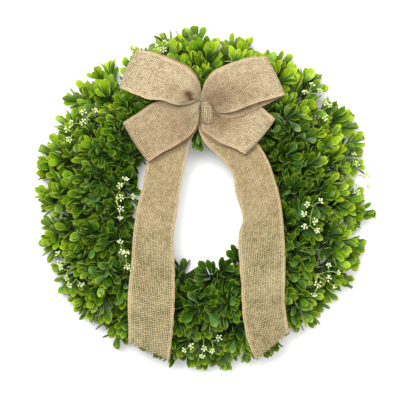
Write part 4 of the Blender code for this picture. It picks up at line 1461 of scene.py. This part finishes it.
def knot_surface(share, across):
    """The band once round the gathered middle of the bow."""
    flat, tall = math.cos(math.tau * share), math.sin(math.tau * share)
    bulge = 1 + KNOT_BULGE * crown_at(across) * max(0.0, tall)
    folds = KNOT_FOLD * math.cos(math.tau * 1.5 * across + 0.9) - KNOT_EDGE * (2 * across)**4
    half_length = KNOT_HALF_LENGTH * (1 - KNOT_ROUNDING * (2 * across)**2)
    return KNOT + KNOT_ASIDE + Vector((
        KNOT_WIDTH * across * (1 + KNOT_TAPER * flat) - KNOT_LEAN * flat,
        math.copysign(abs(flat)**0.72, flat) * half_length,
        math.copysign(abs(tall)**0.8, tall) * (KNOT_HALF_HEIGHT * bulge + folds * abs(tall)),
    ))


def knot_shade(share, across):
    """How dark the band is painted as shade: darker where it turns down beside the tails and loops, and at
    its edges.
    """
    return 0.17 + 0.20 * abs(math.cos(math.tau * share)) + 0.3 * (2 * across)**4


class WREATH_OT_bow_knot(bpy.types.Operator):
    """Makes the band round the gathered middle of the bow"""
    bl_idname = "wreath.bow_knot"
    bl_label = "Bow Knot"

    def execute(self, context):
        piece, length = cloth_strip("burlap_knot", knot_surface, 72, 12, bpy.data.materials["burlap_cloth"],
                                    shade=knot_shade, width=KNOT_WIDTH, closed=True)
        finish_piece(piece, "burlap", "bow_knot")
        return {"FINISHED"}


class WREATH_OT_bow_wire(bpy.types.Operator):
    """Makes the wire that ties the bow to the vine ring"""
    bl_idname = "wreath.bow_wire"
    bl_label = "Bow Wire"

    def execute(self, context):
        points, triangles = welded("bow_wire")
        wire = mesh_object("tie_wire", points.tolist(), triangles.tolist())
        use_modifier(wire, "SUBSURF", levels=1, render_levels=1)
        wire.data.shade_smooth()
        wire.data.materials.append(wire_material())
        finish_piece(wire, "wire", "bow_wire")
        return {"FINISHED"}


# Vine ring

def rod_surface(number, settings):
    """A rod's surface, with furrows along it and knobs. It is flat where it meets the floor."""
    draw = random.Random(f"{SEED} rod {number}")
    furrow_phase, bend_phase, knob_phase, side_phase = (draw.uniform(0, math.tau) for _ in range(4))

    def middle(turn):
        out = Vector((math.cos(turn), math.sin(turn), 0))
        twist = TWISTS * (turn - LOW_POINT_ANGLE) + math.tau * number / ROD_COUNT - math.pi / 2
        spoke = out * math.cos(twist) + UP * math.sin(twist)
        return out * RING_RADIUS + UP * RING_HEIGHT + spoke * TWIST_RADIUS

    def surface(share, across):
        turn, angle = math.tau * share, math.tau * (across + 0.5)
        step = math.tau / ROD_STEPS
        forward = (middle(turn + step) - middle(turn - step)).normalized()
        beside = forward.cross(UP).normalized()
        above = beside.cross(forward)
        furrow = math.sin(FURROWS * angle + furrow_phase + 0.6 * math.sin(FURROW_BENDS * turn + bend_phase))
        knob = math.sin(KNOBS * turn + knob_phase) * math.sin(angle + side_phase)
        radius = ROD_RADIUS + settings.furrow_depth * 0.6 * (furrow + knob)
        place = middle(turn) + (beside * math.cos(angle) + above * math.sin(angle)) * radius
        place.z = max(place.z, 0.0)
        return place

    return surface


class WREATH_OT_vine_ring(bpy.types.Operator):
    """Makes the twisted vine rods that the sprays are stuck in"""
    bl_idname = "wreath.vine_ring"
    bl_label = "Vine Ring"

    def execute(self, context):
        settings = context.scene.wreath_vine
        material = bark_material(settings)
        for number in range(ROD_COUNT):
            rod, _ = laid_grid(f"vine_{number + 1}", ROD_STEPS, ROD_SIDES, "rod_map",
                               rod_surface(number, settings), lambda share, across: (across + 0.5, share))
            join_ends(rod)
            rod.data.shade_smooth()
            rod.data.materials.append(material)
            finish_piece(rod, "vine", f"vine_rod_{number + 1}")
        return {"FINISHED"}


# Stage

class WREATH_OT_stage(bpy.types.Operator):
    """Makes the pale floor, the soft lights and the camera"""
    bl_idname = "wreath.stage"
    bl_label = "Stage"

    def execute(self, context):
        settings = context.scene.wreath_stage
        floor = primitive("floor", bpy.ops.mesh.primitive_plane_add, size=FLOOR_SIZE, location=(0, 0, 0))
        floor.data.transform(Matrix.Translation(-UP * FLOOR_DROP))
        pale = Shader("pale_floor", 0.9, Specular_IOR_Level=0.1).finished(settings.floor_colour)
        floor.data.materials.append(pale)
        floor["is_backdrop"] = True

        scene = context.scene
        scene.world = bpy.data.worlds.new("soft_room")
        scene.world.use_nodes = True
        background = scene.world.node_tree.nodes["Background"].inputs
        background["Color"].default_value = (1.0, 1.0, 1.0, 1.0)
        background["Strength"].default_value = WORLD_STRENGTH
        for name, (place, size, share) in LIGHTS.items():
            lamp = bpy.data.objects.new(name, bpy.data.lights.new(name, "AREA"))
            lamp.data.size = size
            lamp.data.energy = settings.light_power * share
            lamp.location = place
            lamp.rotation_euler = (-Vector(place)).to_track_quat("-Z", "Y").to_euler()
            scene.collection.objects.link(lamp)

        camera = bpy.data.objects.new("camera", bpy.data.cameras.new("camera"))
        camera.data.lens = VIEW_LENS
        camera.data.sensor_width = SENSOR_WIDTH
        camera.data.clip_end = VIEW_END
        camera.location = VIEW_MIDDLE + SHIFT + UP * (VIEW_PLANE + VIEW_WIDTH * VIEW_LENS / SENSOR_WIDTH)
        scene.collection.objects.link(camera)
        scene.camera = camera
        scene.view_settings.view_transform = "Standard"
        return {"FINISHED"}


class WREATH_PT_panel(bpy.types.Panel):
    """Sizes, colours and the pieces of the wreath"""
    bl_idname = "WREATH_PT_panel"
    bl_label = "Boxwood Wreath"
    bl_space_type = "VIEW_3D"
    bl_region_type = "UI"
    bl_category = "Wreath"

    def draw(self, context):
        for group in SETTINGS:
            box = self.layout.box()
            box.label(text=group.removeprefix("wreath_").title())
            settings = getattr(context.scene, group)
            for key in settings.__annotations__:
                box.prop(settings, key)
        for operator in OPERATORS:
            self.layout.operator(operator.bl_idname)


SETTINGS = {
    "wreath_foliage": FoliageSettings,
    "wreath_flowers": FlowerSettings,
    "wreath_bow": BowSettings,
    "wreath_vine": VineSettings,
    "wreath_stage": StageSettings,
}
OPERATORS = (
    WREATH_OT_bow_loops,
    WREATH_OT_bow_tails,
    WREATH_OT_bow_knot,
    WREATH_OT_bow_wire,
    WREATH_OT_vine_ring,
    WREATH_OT_leafy_sprays,
    WREATH_OT_flower_sprays,
    WREATH_OT_stage,
)
CLASSES = (*SETTINGS.values(), *OPERATORS, WREATH_PT_panel)


def register():
    for made in CLASSES:
        bpy.utils.register_class(made)
    for name, group in SETTINGS.items():
        setattr(bpy.types.Scene, name, PointerProperty(type=group))


def unregister():
    for name in SETTINGS:
        delattr(bpy.types.Scene, name)
    for made in reversed(CLASSES):
        bpy.utils.unregister_class(made)


def main():
    register()
    bpy.ops.wreath.bow_loops()
    bpy.ops.wreath.bow_tails()
    bpy.ops.wreath.bow_knot()
    bpy.ops.wreath.bow_wire()
    bpy.ops.wreath.vine_ring()
    bpy.ops.wreath.leafy_sprays()
    bpy.ops.wreath.flower_sprays()
    bpy.ops.wreath.stage()
    boxes = {"frame": frame_box, "dressed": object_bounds()}
    {name: [list(corner) for corner in box] for name, box in boxes.items()}


if __name__ == "__main__":
    main()
